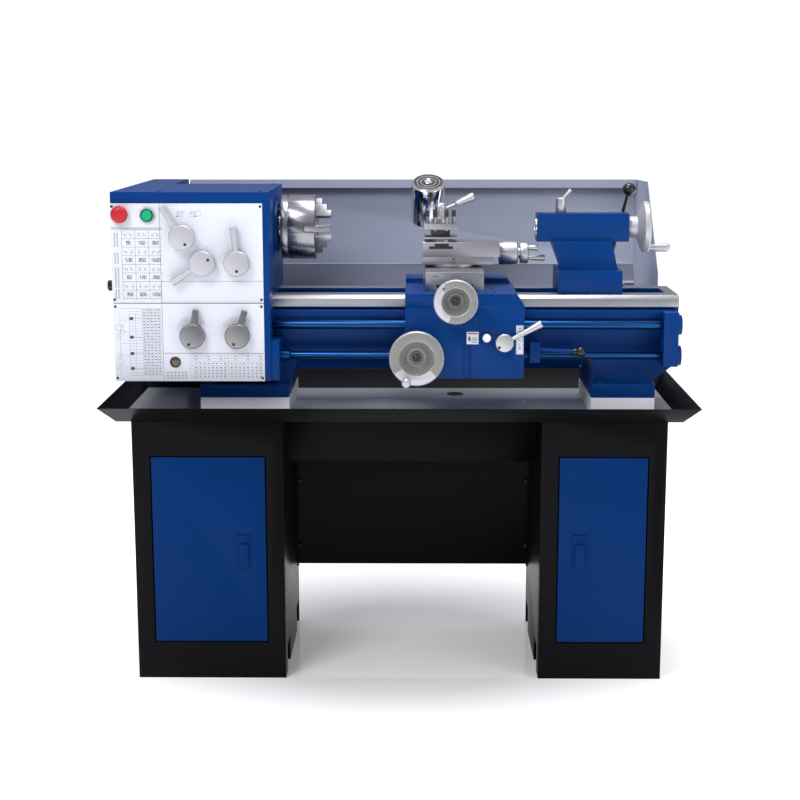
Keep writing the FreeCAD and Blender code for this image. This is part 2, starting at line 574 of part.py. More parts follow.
def make_end_cover():
    """The hinged gear cover and the back plate that carries its hinge and meets it."""
    hinge = ("headstock_left", "cover_back + 6")
    plate = box("back_plate_sheet", ("headstock_left", "headstock_left + 3"),
                ("bed_width / 2 + gap", "cover_back"), ("gearbox_bottom + 20", "headstock_top"))
    room = box("back_plate_notch", ("headstock_left - 5", "headstock_left + 10"),
               (0, "headstock_back"), ("bed_top", "headstock_top + 5"))
    shaft = rod("back_plate_hole", "+X", ("headstock_left - 5", "motor_back", "motor_z"), 20,
                "motor_shaft + 5")
    sheet_cut = cut("cover_backplate", plate, room, shaft)
    knuckles, leaves = [], []
    for low in ("gearbox_bottom + 40", "headstock_top - 120"):
        knuckles.append(rod("fixed_knuckle", "+Z", (*hinge, low), 40, 5))
        knuckles.append(rod("hinge_pin", "+Z", (*hinge, low), 80, "hinge_pin"))
        knuckles.append(box("fixed_leaf", ("headstock_left", "headstock_left + 3"),
                            ("cover_back - 2", "cover_back + 6"), (low, f"{low} + 40")))
        swing = rod("loose_knuckle", "+Z", (*hinge, f"{low} + 40 + gap"), 40, 5)
        bore = rod("loose_bore", "+Z", (*hinge, low), 100, "hinge_pin + running")
        leaf = box("loose_leaf", ("headstock_left - 20", "headstock_left - 4.5"),
                   ("cover_back - 1", "cover_back + 8"), (f"{low} + 40 + gap", f"{low} + 80 + gap"))
        leaves += [cut("loose_hinge", swing, bore), leaf]
    keep("cover_backplate", fuse("cover_backplate", sheet_cut, *knuckles))
    x = ("bed_left", "headstock_left - gap")
    y = ("casting_front + cover_setback", "cover_back")
    z = ("gearbox_bottom", "headstock_top")
    outside = box("cover_outside", x, y, z)
    inside = box("cover_inside", (x[0] + " + cover_sheet", x[1] + " + 5"),
                 (y[0] + " + cover_sheet", y[1] + " - cover_sheet"),
                 (z[0] + " + cover_sheet", z[1] + " - cover_sheet"))
    keep("end_cover", fuse("end_cover", cut("end_cover", outside, inside), *leaves))


def make_spindle():
    """Spindle, its pulley, the three-jaw chuck and the jaws."""
    tail = "bed_left + 14 - (headstock_right)"
    seat = "headstock_left - 2 - (headstock_right)"
    bore = "spindle_bore"
    points = [(tail, bore), (tail, "pulley_seat"), (seat, "pulley_seat"), (seat, "spindle_radius"),
              ("-bearing_width + 20.5", "spindle_radius"), ("-bearing_width + 20.5", "nose_radius"),
              ("nose_length", "nose_radius"), ("nose_length", bore)]
    keep("spindle", turned("spindle", "+X", ("headstock_right", 0, "spindle_z"), points))
    length = "chuck_plate + chuck_length"
    chuck = [(0, bore), (0, "chuck_radius - 1"), ("chuck_plate - 1", "chuck_radius - 1"),
             ("chuck_plate - 1", "chuck_radius - 3"), ("chuck_plate + 1", "chuck_radius - 3"),
             ("chuck_plate + 1", "chuck_radius"), (f"{length} - 2", "chuck_radius"),
             (length, "chuck_radius - 2"), (length, "chuck_bore"), ("chuck_plate", "chuck_bore"),
             ("chuck_plate", bore)]
    body = turned("chuck_turning", "+X", ("chuck_back", 0, "spindle_z"), chuck)
    at = ("chuck_face", 0, "spindle_z")
    slots = []
    for number, angle in enumerate((90, -30, -150), 1):
        turn = Rotation(V(1, 0, 0), angle)
        slot = [("-jaw_depth", 0), (5, 0), (5, "chuck_radius + 5"), ("-jaw_depth", "chuck_radius + 5")]
        slots.append(padded("jaw_slot", "XZ_Plane", at, slot, "jaw_width", turn, midplane=True))
        step = "(jaw_outer - jaw_inner) / 3"
        jaw = [("-(jaw_root)", "jaw_inner"), ("jaw_reach", "jaw_inner"),
               ("jaw_reach", f"jaw_inner + {step}"), ("jaw_reach * 2 / 3", f"jaw_inner + {step}"),
               ("jaw_reach * 2 / 3", f"jaw_outer - {step}"), ("jaw_reach / 3", f"jaw_outer - {step}"),
               ("jaw_reach / 3", "jaw_outer"), ("-(jaw_root)", "jaw_outer")]
        keep(f"chuck_jaw_{number}", padded(f"chuck_jaw_{number}", "XZ_Plane", at, jaw,
                                           "jaw_width - 2 * gap", turn, midplane=True))
    key = rod("key_socket", "+Z", ("chuck_face - key_place", 0, "spindle_z + chuck_radius - 20"),
              30, "key_radius")
    keep("chuck_body", cut("chuck_body", body, *slots, key))


def pulley(name, radius, bore, at):
    """A pulley with one wide groove whose floor has the given radius."""
    rim = f"{radius} + pulley_flange"
    lip = "(pulley_width - belt_width) / 2 - gap"
    points = [(0, bore), (0, rim), (lip, rim), (lip, radius), (f"pulley_width - ({lip})", radius),
              (f"pulley_width - ({lip})", rim), ("pulley_width", rim), ("pulley_width", bore)]
    return turned(name, "+X", at, points)


def make_drive():
    """Motor, its pulley and shaft, the spindle's pulley and the belt."""
    keep("spindle_pulley", pulley("spindle_pulley", "spindle_pulley_radius", "pulley_seat",
                                  ("pulley_x", 0, "spindle_z")))
    at = ("pulley_x", "motor_back", "motor_z")
    start = "headstock_left + motor_setback"
    shaft = rod("motor_stub", "+X", at, f"{start} - (pulley_x) + 40", "motor_shaft")
    keep("motor_pulley", fuse("motor_pulley", pulley("motor_pulley_wheel", "motor_pulley_radius",
                                                     "motor_shaft - 1", at), shaft))
    body = turned("motor_case", "+X", (start, "motor_back", "motor_z"),
                  [(0, "motor_shaft + running"), (0, "motor_radius - 12"), (12, "motor_radius"),
                   ("motor_length - 12", "motor_radius"), ("motor_length", "motor_radius - 12"),
                   ("motor_length", 0), (60, 0), (60, "motor_shaft + running")])
    mount_x = (f"{start} + 40", "headstock_left + motor_length - 60")
    pad = box("motor_pad", mount_x, ("bed_width / 2 - way_overhang", "bed_width / 2 + 10"),
              ("motor_z - 40", "bed_top - way_depth - way_overhang"))
    arm = box("motor_arm", mount_x, ("bed_width / 2 + 5", "motor_back - motor_radius + 20"),
              ("motor_z - 12", "motor_z + 12"))
    terminal = box("terminal_box", (f"{start} + 80", f"{start} + 150"),
                   ("motor_back + 10", "motor_back + 70"),
                   ("motor_z + 40", "motor_z + motor_radius + 25"))
    gland = rod("cable_gland", "+Y", (f"{start} + 115", "motor_back + 70",
                                      "motor_z + motor_radius + 5"), 16, 9)
    keep("motor", fuse("motor", body, pad, arm, terminal, gland))
    keep("drive_belt", drive_belt())


def drive_belt():
    """The flat belt round both pulleys: two straight runs and the arcs that they meet."""
    top, low = worth("spindle_z"), worth("motor_z")
    back = worth("motor_back")
    span = V(0, back, low - top)
    reach = span.Length
    along = span.normalize()
    across = V(1, 0, 0).cross(along)

    def loop(extra):
        """The closed line round both pulleys, this far off their grooves."""
        big = worth("spindle_pulley_radius") + extra
        small = worth("motor_pulley_radius") + extra
        lean = (big - small) / reach
        level = (1 - lean * lean) ** 0.5
        centres = (V(0, 0, top), V(0, back, low))
        ends = [[centre + (along * lean + across * (side * level)) * radius
                 for side in (1, -1)] for centre, radius in zip(centres, (big, small))]
        far = (centres[0] - along * big, centres[1] + along * small)
        edges = [Part.Arc(ends[0][0], far[0], ends[0][1]).toShape(),
                 Part.LineSegment(ends[0][1], ends[1][1]).toShape(),
                 Part.Arc(ends[1][1], far[1], ends[1][0]).toShape(),
                 Part.LineSegment(ends[1][0], ends[0][0]).toShape()]
        return Part.Face(Part.Wire(edges))

    gap = worth("gap")
    band = loop(gap + worth("belt_thickness")).cut(loop(gap))
    thing = doc.addObject("Part::Feature", "drive_belt")
    thing.Shape = band.extrude(V(worth("belt_width"), 0, 0))
    return place(thing, ("pulley_x + (pulley_width - belt_width) / 2", 0, 0))


def make_buttons():
    """The mushroom stop button and the start button, each sprung on its shank."""
    at = ("headstock_right - stop_side", "panel_face", "spindle_z + stop_up")
    low, high = "button_travel + 0.5", "button_travel + 17"
    keep("stop_button", turned("stop_button", "-Y", at, [
        (-1, 0), (-1, "button_shank"), (low, "button_shank"), (low, "stop_radius - 3"),
        (f"{low} + 3", "stop_radius"), (f"{high} - 7", "stop_radius"),
        (f"{high} - 2", "stop_radius - 5"), (high, "stop_radius - 11"), (high, 0)]))
    at = ("headstock_right - start_side", "panel_face", "spindle_z + start_up")
    keep("start_button", turned("start_button", "-Y", at, [
        (0, 0), (0, "start_radius"), (8, "start_radius"), (9, "start_radius - 1"), (9, 0)]))


def make_headstock_levers():
    """Three speed levers with tapered arms and two feed levers with bar pointers."""
    for number, (side, up, lean) in enumerate(SPEED_LEVERS, 1):
        name = f"speed_lever_{number}"
        at = (f"headstock_right - {side}", "panel_face", f"spindle_z + {up}")
        knob = turned(name + "_knob", "-Y", at, [
            ("-headstock_wall", 0), ("-headstock_wall", "lever_shaft"), ("gap", "lever_shaft"),
            ("gap", "speed_knob - 3"), (3, "speed_knob"), ("speed_knob_length - 2", "speed_knob"),
            ("speed_knob_length", "speed_knob - 2"), ("speed_knob_length", 0)])
        arm = rod(name + "_arm", "+Z", (at[0], "panel_face - speed_knob_length / 2 - 3", at[2]),
                  "speed_knob + speed_arm", 4, 8.5, Rotation(V(0, 1, 0), lean))
        keep(name, fuse(name, knob, arm))
    for number, (side, up, lean) in enumerate(FEED_LEVERS, 1):
        name = f"feed_lever_{number}"
        at = (f"headstock_right - {side}", "panel_face", f"spindle_z + {up}")
        knob = turned(name + "_knob", "-Y", at, [
            ("-headstock_wall", 0), ("-headstock_wall", "lever_shaft"), ("gap", "lever_shaft"),
            ("gap", "feed_knob - 3"), (3, "feed_knob"), ("feed_knob_length - 2", "feed_knob"),
            ("feed_knob_length", "feed_knob - 2"), ("feed_knob_length", 0)])
        bar = [(-7, 10), (7, 10), (6.5, "feed_pointer"), (-6.5, "feed_pointer")]
        pointer = padded(name + "_bar", "XZ_Plane", (at[0], "panel_face - 6", at[2]), bar, 11,
                         Rotation(V(0, 1, 0), lean))
        keep(name, fuse(name, knob, pointer))


def make_carriage():
    """Saddle, apron and the controls on the apron."""
    x = ("carriage_left", "carriage_right")
    deck = box("saddle_deck", x, ("bed_front - gap", "saddle_back"), ("bed_top + gap", "saddle_z"))
    skirt = box("saddle_skirt", x, ("apron_face", "bed_front - gap"), ("apron_top", "saddle_z"))
    keeper = box("saddle_keeper", x, ("bed_width / 2 + gap", "saddle_back"),
                 ("bed_top - way_depth", "saddle_z"))
    wings = [box("saddle_wing", span, (20, "saddle_back"), ("saddle_z", "saddle_z + wing_rise"))
             for span in ((x[0], f"{x[0]} + 40"), (f"{x[0]} + 177", f"{x[0]} + 249"))]
    half = "dovetail_width / 2"
    tail = [(f"-({half})", 0), (half, 0), (f"{half} + dovetail_slant", "dovetail_height"),
            (f"-({half} + dovetail_slant)", "dovetail_height")]
    dovetail = padded("saddle_dovetail", "XZ_Plane", ("cross_x", "saddle_back", "saddle_z"), tail,
                      "saddle_back - (apron_face) - 60")
    boss = rod("saddle_boss", "-Y", ("cross_x", "apron_face", "cross_screw_z"), "cross_boss",
               "cross_screw_drop")
    bore = rod("cross_bore", "+Y", ("cross_x", "apron_face - 20", "cross_screw_z"), 70,
               "cross_screw_radius + running")
    bevel = padded("saddle_bevel", "XZ_Plane", (x[1], "saddle_back + 5", "saddle_z + wing_rise"),
                   [(-26, 0), (-26, 5), (5, 5), (5, -43)], "saddle_back - (apron_face) + 10")
    keep("saddle", cut("saddle", fuse("saddle_casting", deck, skirt, keeper, *wings, dovetail, boss),
                       bore, bevel))
    block = box("apron_block", x, ("apron_face", "bed_front - apron_back"),
                ("apron_bottom", "apron_top"))
    bores = [rod("apron_bore", "+X", ("carriage_left - 5", "screw_y", level),
                 "carriage_length + 10", f"{radius} + slack")
             for level, radius in (("leadscrew_z", "leadscrew_radius"),
                                   ("feed_rod_z", "feed_rod_radius"))]
    shafts = [("apron_wheel_x", "apron_wheel_z", "apron_wheel_shaft"), ("carriage_left + halfnut_side",
              "bed_top - halfnut_drop", 7), ("carriage_left + selector_side",
              "bed_top - selector_drop", 5)]
    seats = [rod("apron_seat", "+Y", (place_x, "apron_face - 5", level), 30, f"{radius} + running")
             for place_x, level, radius in shafts]
    groove = box("apron_groove", ("carriage_left + 126", "carriage_left + 143"),
                 ("apron_face - 5", "apron_face + 5"), ("apron_bottom - 1", "apron_bottom + 77"))
    keep("apron", cut("apron", block, *bores, *seats, groove))
    half_nut = turned("halfnut_disc", "-Y", (shafts[1][0], "apron_face", shafts[1][1]), [
        (-20, 0), (-20, 7), ("gap", 7), ("gap", "halfnut_radius - 1"), (2, "halfnut_radius"),
        (15, "halfnut_radius"), (17, "halfnut_radius - 2"), (17, 0)])
    grip = rod("halfnut_arm", "+Z", (shafts[1][0], "apron_face - 10", shafts[1][1]), 90, 3.5, 8.5,
               Rotation(V(0, 1, 0), 62))
    keep("halfnut_lever", fuse("halfnut_lever", half_nut, grip))
    keep("selector_knob", turned("selector_knob", "-Y", (shafts[2][0], "apron_face", shafts[2][1]), [
        (-20, 0), (-20, 5), (2, 5), (3, 7), (6, 9), (10, 9.3), (14, 9), (18, 5.5), (19.5, 0)]))
    start = "carriage_right + control_gap"
    block = box("control_block", (start, f"{start} + control_block"),
                ("screw_y - 30", "screw_y + 16"), ("feed_rod_z - 12", "feed_rod_z + 31"))
    bore = rod("control_bore", "+X", (f"{start} - 5", "screw_y", "feed_rod_z"), 60,
               "feed_rod_radius + gap")
    at = (f"{start} + 12", "screw_y - 22", "feed_rod_z + 16")
    stem = rod("control_stem", "+X", at, "control_reach", 4, 5,
               Rotation(V(0, 1, 0), worth("control_lean")))
    knob = ball("control_knob", "control_ball", (f"{at[0]} + control_reach * cos(control_lean)", at[1],
                                                 f"{at[2]} - control_reach * sin(control_lean)"))
    keep("control_lever", fuse("control_lever", cut("control_hub", block, bore), stem, knob))


def handwheel(name, aim, at, shaft, inset, radius):
    """A handwheel with a broad flat rim, a deep bowl, its hub screw, boss and shaft."""
    return turned(name + "_wheel", aim, at, [
        (f"-({inset})", 0), (f"-({inset})", shaft), ("gap", shaft),
        ("gap", f"wheel_boss * {radius}"), ("wheel_back", f"wheel_boss * {radius}"),
        ("wheel_depth - 15", f"{radius} - 3"), ("wheel_depth - 13", radius),
        ("wheel_depth - 3", radius), ("wheel_depth", f"{radius} - 2"),
        ("wheel_depth", f"wheel_bowl * {radius} + 2"), ("wheel_depth - 2", f"wheel_bowl * {radius}"),
        ("wheel_back + 4", f"wheel_floor * {radius}"), ("wheel_back + 2", f"wheel_nut * {radius} + 2"),
        ("wheel_back + 8", f"wheel_nut * {radius}"), ("wheel_back + 8", 0)])


def handwheel_grip(name, aim, spot):
    """A handwheel's turned grip, standing from its rim."""
    return turned(name + "_grip", aim, spot, [
        ("wheel_depth - 9", 0), ("wheel_depth - 9", 5), ("wheel_depth + 3", 6),
        ("wheel_depth + grip_length * 0.35", 9.5), ("wheel_depth + grip_length - 6", 10),
        ("wheel_depth + grip_length", 7), ("wheel_depth + grip_length", 0)])


def make_handwheels():
    """The carriage, cross-slide and tailstock handwheels."""
    at = ("apron_wheel_x", "apron_face", "apron_wheel_z")
    wheel = handwheel("apron", "-Y", at, "apron_wheel_shaft", 20, "apron_wheel_radius")
    reach = "(apron_wheel_radius - 9)"
    grip = handwheel_grip("apron", "-Y", (f"{at[0]} - 0.44 * {reach}", at[1],
                                          f"{at[2]} - 0.9 * {reach}"))
    keep("apron_handwheel", fuse("apron_handwheel", wheel, grip))
    at = ("cross_x", "apron_face - cross_boss", "cross_screw_z")
    wheel = handwheel("cross", "-Y", at, "cross_screw_radius", 30, "cross_wheel_radius")
    reach = "(cross_wheel_radius - 8)"
    hole = rod("grip_hole", "-Y", (f"{at[0]} - 0.66 * {reach}", f"{at[1]} - wheel_depth + 10",
                                   f"{at[2]} + 0.75 * {reach}"), 20, "grip_hole")
    keep("cross_handwheel", cut("cross_handwheel", wheel, hole))
    at = ("barrel_right", 0, "spindle_z")
    wheel = handwheel("tailstock", "+X", at, "tailstock_screw", 90, "tailstock_wheel_radius")
    grip = handwheel_grip("tailstock", "+X", (at[0], at[1],
                                              f"{at[2]} - 0.97 * (tailstock_wheel_radius - 9)"))
    keep("tailstock_handwheel", fuse("tailstock_handwheel", wheel, grip))


def slot_for_dovetail(name, at, length):
    """The space that a slide leaves for the dovetail below it."""
    half = "dovetail_width / 2"
    points = [(f"-({half} + gap)", -5), (f"{half} + gap", -5), (f"{half} + gap", 0),
              (f"{half} + dovetail_slant + gap", "dovetail_height + gap"),
              (f"-({half} + dovetail_slant + gap)", "dovetail_height + gap"), (f"-({half} + gap)", 0)]
    return padded(name, "XZ_Plane", at, points, length)


def make_slides():
    """Cross slide, swivel base, top slide, tool post and their handles."""
    wide = ("cross_x - cross_slide_width / 2", "cross_x + cross_slide_width / 2")
    block = box("cross_block", wide, ("-cross_slide_front", "cross_slide_back"),
                ("saddle_z + gap", "cross_slide_z"))
    slot = slot_for_dovetail("cross_slot", ("cross_x", "cross_slide_back + 5", "saddle_z"),
                             "cross_slide_front + cross_slide_back + 10")
    keep("cross_slide", cut("cross_slide", block, slot))
    disc = rod("swivel_disc", "+Z", ("cross_x", 0, "cross_slide_z + gap"), "swivel_height",
               "swivel_radius")
    long = ("compound_left", "compound_left + compound_length")
    side = ("-compound_width / 2", "compound_width / 2")
    base = box("compound_block", long, side, ("compound_z", "top_slide_z"))
    keep("compound_base", fuse("compound_base", disc, base))
    end = f"{long[1]} + top_slide_overhang"
    slide = box("top_slide_block", (long[0], end), side,
                ("top_slide_z + gap", "top_slide_z + top_slide_height"))
    seat = rod("toolpost_seat", "+Z", ("toolpost_x", 0, "toolpost_z - toolpost_seat - 1"),
               "toolpost_seat + 1", 30)
    post = rod("tool_stud", "+Z", ("toolpost_x", 0, "toolpost_z - toolpost_seat - 5"),
               "post_height", "post_radius")
    bore = rod("top_slide_bore", "-X", (f"{end} + 5", 0, "wheel_z"), 20, "5 + running")
    keep("top_slide", fuse("top_slide", cut("top_slide_drilled", slide, bore), seat, post))
    wheel = turned("compound_wheel", "+X", (end, 0, "wheel_z"), [
        (-14, 0), (-14, 5), ("gap", 5), ("gap", "compound_wheel_radius"),
        (40, "compound_wheel_radius"), (42, "compound_wheel_radius - 2"), (42, 12), (48, 12),
        (48, "compound_wheel_radius - 2"), (64, "compound_wheel_radius - 2"),
        (66, "compound_wheel_radius - 5"), (66, 0)])
    grips = [rod("compound_grip", "+X", (f"{end} + 60", across, f"wheel_z + {up}"), length, 4, 7.5)
             for across, up, length in ((-6, 12, 28), (6, -12, 44))]
    keep("compound_handwheel", fuse("compound_handwheel", wheel, *grips))
    make_toolpost()


def make_toolpost():
    """The four-way tool post with its clamp screws, and the locking lever above it."""
    at = "toolpost_x"
    low = "toolpost_z + gap"
    half = "toolpost_side / 2"
    square = ((f"{at} - {half}", f"{at} + {half}"), (f"-{half}", half))
    plate = box("toolpost_foot", *square, (low, f"{low} + tool_slot_sill"))
    core = box("toolpost_core", (f"{at} - toolpost_core / 2", f"{at} + toolpost_core / 2"),
               ("-toolpost_core / 2", "toolpost_core / 2"), (low, "toolpost_top"))
    head = box("toolpost_head", *square, (f"{low} + tool_slot_sill + tool_slot", "toolpost_top"))
    bore = rod("toolpost_bore", "+Z", (at, 0, "toolpost_z - 5"), 80, "post_radius + running")
    holes, screws = [], []
    edge, near = f"({half} - 8)", f"({half} - 8) * 0.44"
    for across in ("-", ""):
        for along in ("-", ""):
            for x, y in ((edge, near), (near, edge)):
                spot = (f"{at} + {across}{x}", f"{along}{y}", "toolpost_top - screw_seat")
                holes.append(rod("screw_hole", "+Z", spot, 30, "screw_radius + running"))
                screws.append(rod("clamp_screw", "+Z", spot, "screw_seat + screw_rise",
                                  "screw_radius"))
    block = cut("toolpost_block", fuse("toolpost_block", plate, core, head), bore, *holes)
    keep("toolpost", group("toolpost", block, *screws))
    top = "toolpost_top + gap"
    hub = turned("lever_hub", "+Z", (at, 0, top), [
        (0, "post_radius + running"), (0, 14), (10, 14), (14, 12), (40, 12), (40, 0), (32, 0),
        (32, "post_radius + running")])
    arm = rod("lever_arm", "+X", (at, 0, f"{top} + 33"), 82, 4.5, 9,
              Rotation(V(0, 1, 0), -17))
    keep("toolpost_lever", fuse("toolpost_lever", hub, arm))


def make_tailstock():
    """Tailstock casting, quill, quill lock and the bed clamp lever."""
    foot = box("tailstock_foot", ("tailstock_left", "tailstock_right"),
               ("-tailstock_depth / 2", "tailstock_depth / 2"),
               ("bed_top + gap", "bed_top + tailstock_base_height"))
    tongue = box("tailstock_tongue", ("tailstock_left + 10", "tailstock_right - 10"),
                 ("-bed_gap / 2 + gap", "bed_gap / 2 - gap"), ("bed_top - 14", "bed_top + 5"))
    side = "barrel_side / 2"
    low = "spindle_z - " + side
    neck = padded("tailstock_neck", "XZ_Plane", (0, 42, 0), [
        ("tailstock_left + 12", "bed_top + tailstock_base_height - 5"),
        ("tailstock_left - 14", f"{low} + 2"), ("tailstock_right - 21", f"{low} + 2"),
        ("tailstock_right - 6", "bed_top + tailstock_base_height - 5")], 84)
    barrel = box("tailstock_barrel", ("barrel_left", "barrel_right"), ("-" + side, side),
                 (low, f"spindle_z + {side}"))
    bore = rod("quill_hole", "+X", ("barrel_left - 5", 0, "spindle_z"), "barrel_length - 9",
               "quill_radius + running")
    end_bore = rod("screw_hole", "+X", ("barrel_left", 0, "spindle_z"), "barrel_length + 10",
                   "tailstock_screw + running")
    lock_bore = rod("lock_hole", "+Z", ("lock_x", 0, "spindle_z"), 60, "5 + running")
    clamp_x = "tailstock_right - 16"
    clamp_z = "bed_top + 34"
    clamp_bore = rod("clamp_hole", "+Y", (clamp_x, 20, clamp_z), 100, "7 + running")
    casting = fuse("tailstock_casting", foot, tongue, neck, barrel)
    keep("tailstock_body", cut("tailstock_body", casting, bore, end_bore, lock_bore, clamp_bore))
    length = "barrel_length - 24"
    keep("quill", turned("quill", "+X", ("barrel_left - quill_reach", 0, "spindle_z"), [
        (0, "quill_bore"), (0, "quill_radius - 2"), (2, "quill_radius"), (length, "quill_radius"),
        (length, "tailstock_screw + 2"), ("quill_socket", "tailstock_screw + 2"),
        ("quill_socket", "quill_bore")]))
    lock = turned("lock_hub", "+Z", ("lock_x", 0, f"spindle_z + {side}"), [
        (f"-({side} - quill_radius) + 1.5", 0), (f"-({side} - quill_radius) + 1.5", 5), ("gap", 5),
        ("gap", 12), (32, 12), (34, 10), (34, 0)])
    tip = rod("lock_arm", "+Z", ("lock_x", 0, f"spindle_z + {side} + 28"), 32, 3, 4.5,
              Rotation(V(0, 1, 0), 42))
    keep("quill_lock", fuse("quill_lock", lock, tip))
    hub = turned("clamp_hub", "+Y", (clamp_x, "tailstock_depth / 2", clamp_z), [
        (-40, 0), (-40, 7), ("gap", 7), ("gap", 13), (20, 13), (20, 0)])
    lean = Rotation(V(0, 1, 0), 14)
    at = (clamp_x, "tailstock_depth / 2 + 10", clamp_z)
    stem = rod("clamp_stem", "+Z", at, "clamp_rise + 5", 5, 4, lean)
    knob = ball("clamp_knob", "clamp_ball", (f"{at[0]} + (clamp_rise + 10) * sin(14)", at[1],
                                             f"{at[2]} + (clamp_rise + 10) * cos(14)"))
    keep("tailstock_clamp_lever", fuse("tailstock_clamp_lever", hub, stem, knob))


def flat_panel(corners, thickness):
    """A flat sheet through corners given as formulas, thickened to its outer side."""
    points = [V(*(worth(value) for value in corner)) for corner in corners]
    normal = (points[1] - points[0]).cross(points[-1] - points[0]).normalize()
    if normal.x + normal.y < 0:
        normal = -normal
    return Part.Face(Part.makePolygon(points + points[:1])).extrude(normal * thickness)


def make_guard():
    """The bent splash guard behind the bed, with its lip and flared right wing."""
    left, right = "headstock_left + 5", "guard_right"
    back, rim, bend = "guard_back", "guard_rim", "guard_bend"
    foot_y, foot_z = "tray_depth / 2", "tray_rim"
    sheet_now = worth("guard_sheet")
    lip_y = "guard_back - guard_lip_depth"
    def wing_x(y):
        """How far right the flared wing stands at a distance behind the spindle."""
        return f"{right} + guard_flare * (guard_back - ({y})) / (guard_back - ({foot_y}))"

    panels = [
        [(left, back, bend), (right, back, bend), (right, back, rim), (left, back, rim)],
        [(left, foot_y, foot_z), (wing_x(foot_y), foot_y, foot_z), (right, back, bend),
         (left, back, bend)],
        [(right, back, bend), (wing_x(foot_y), foot_y, foot_z),
         (wing_x("wing_low_front"), "wing_low_front", foot_z),
         (wing_x("wing_low_front"), "wing_low_front", bend),
         (wing_x("wing_top_front"), "wing_top_front", rim), (right, back, rim)],
    ]
    solids = [flat_panel(corners, sheet_now) for corners in panels]
    x0, x1 = worth(left), worth(right)
    y0, y1 = worth(lip_y), worth(back)
    z1 = worth(rim)
    solids.append(Part.makeBox(x1 - x0, y1 - y0 + sheet_now, sheet_now, V(x0, y0, z1 - sheet_now)))
    solids.append(Part.makeBox(x1 - x0, sheet_now, worth("guard_lip"),
                               V(x0, y0, z1 - worth("guard_lip"))))
    seams = [((left, back, bend), (right, back, bend)), ((right, back, bend), (right, back, rim)),
             ((right, back, bend), (wing_x(foot_y), foot_y, foot_z))]
    for start, end in seams:
        start, end = (V(*(worth(value) for value in corner)) for corner in (start, end))
        solids.append(Part.makeCylinder(sheet_now, (end - start).Length, start, end - start))
    thing = doc.addObject("Part::Feature", "splash_guard")
    thing.Shape = solids[0].multiFuse(solids[1:])
    keep("splash_guard", thing)


def make_lamp():
    """The machine lamp: its arm behind the saddle and its chrome head."""
    foot = box("lamp_foot", ("lamp_arm_x - 12", "lamp_arm_x + 12"), ("saddle_back", "lamp_arm_y + 10"),
               ("saddle_z - 14", "saddle_z - 2"))
    stem = rod("lamp_stem", "+Z", ("lamp_arm_x", "lamp_arm_y", "saddle_z - 8"),
               "lamp_joint_z - (saddle_z) + 8", "lamp_arm_radius")
    knuckle = rod("lamp_knuckle", "+X", ("lamp_arm_x - 7", "lamp_arm_y", "lamp_joint_z"), 13, 10)
    pin = rod("lamp_pin", "-X", ("lamp_arm_x", "lamp_arm_y", "lamp_joint_z"), 19, 4)
    keep("lamp_arm", fuse("lamp_arm", foot, stem, knuckle, pin))
    lug_x = ("lamp_arm_x - 19 - gap", "lamp_arm_x - 7 - gap")
    lug = rod("lamp_lug", "+X", (lug_x[0], "lamp_arm_y", "lamp_joint_z"), 12, 10)
    hole = rod("lamp_lug_hole", "-X", ("lamp_arm_x", "lamp_arm_y", "lamp_joint_z"), 30, "4 + running")
    tilt = Rotation(V(1, 0, 0), worth("lamp_tilt"))
    head = turned("lamp_can", "+Z", ("lamp_x", "lamp_back", "lamp_joint_z - 7"), [
        ("-lamp_length / 2", "lamp_radius - 3"), ("-lamp_length / 2", "lamp_radius"),
        ("lamp_length / 2 - 3", "lamp_radius"), ("lamp_length / 2", "lamp_radius - 3"),
        ("lamp_length / 2", 0), ("lamp_length / 2 - 12", 0),
        ("lamp_length / 2 - 12", "lamp_radius - 3")], tilt)
    neck = box("lamp_neck", lug_x, ("lamp_back + lamp_radius - 3", "lamp_arm_y"),
               ("lamp_joint_z - 6", "lamp_joint_z + 6"))
    bracket = cut("lamp_lug_drilled", fuse("lamp_bracket", lug, neck), hole)
    keep("lamp_head", fuse("lamp_head", head, bracket))


make_stand()
make_tray()
make_bed()
make_headstock()
make_end_cover()
make_spindle()
make_drive()
make_buttons()
make_headstock_levers()
make_carriage()
make_handwheels()
make_slides()
make_tailstock()
make_guard()
make_lamp()

doc.recompute()
for thing in doc.Objects:
    if "Invalid" in thing.State or "Error" in thing.State:
        raise RuntimeError(f"{thing.Name} failed: {thing.State}")
for label, thing in pieces.items():
    if thing.Shape.isNull() or not thing.Shape.isValid():
        raise RuntimeError(f"{label} has no valid shape")

os.makedirs("parts", exist_ok=True)
for label, thing in pieces.items():
    thing.Shape.exportStep(f"parts/{label}.step")
print(len(pieces), "sub-parts")
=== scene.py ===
"""Looks of a small metal-turning lathe on its two-cabinet stand, in metres."""
import json
from math import atan2, cos, pi, radians, sin, tau

import bmesh
import bpy
from mathutils import Matrix, Vector


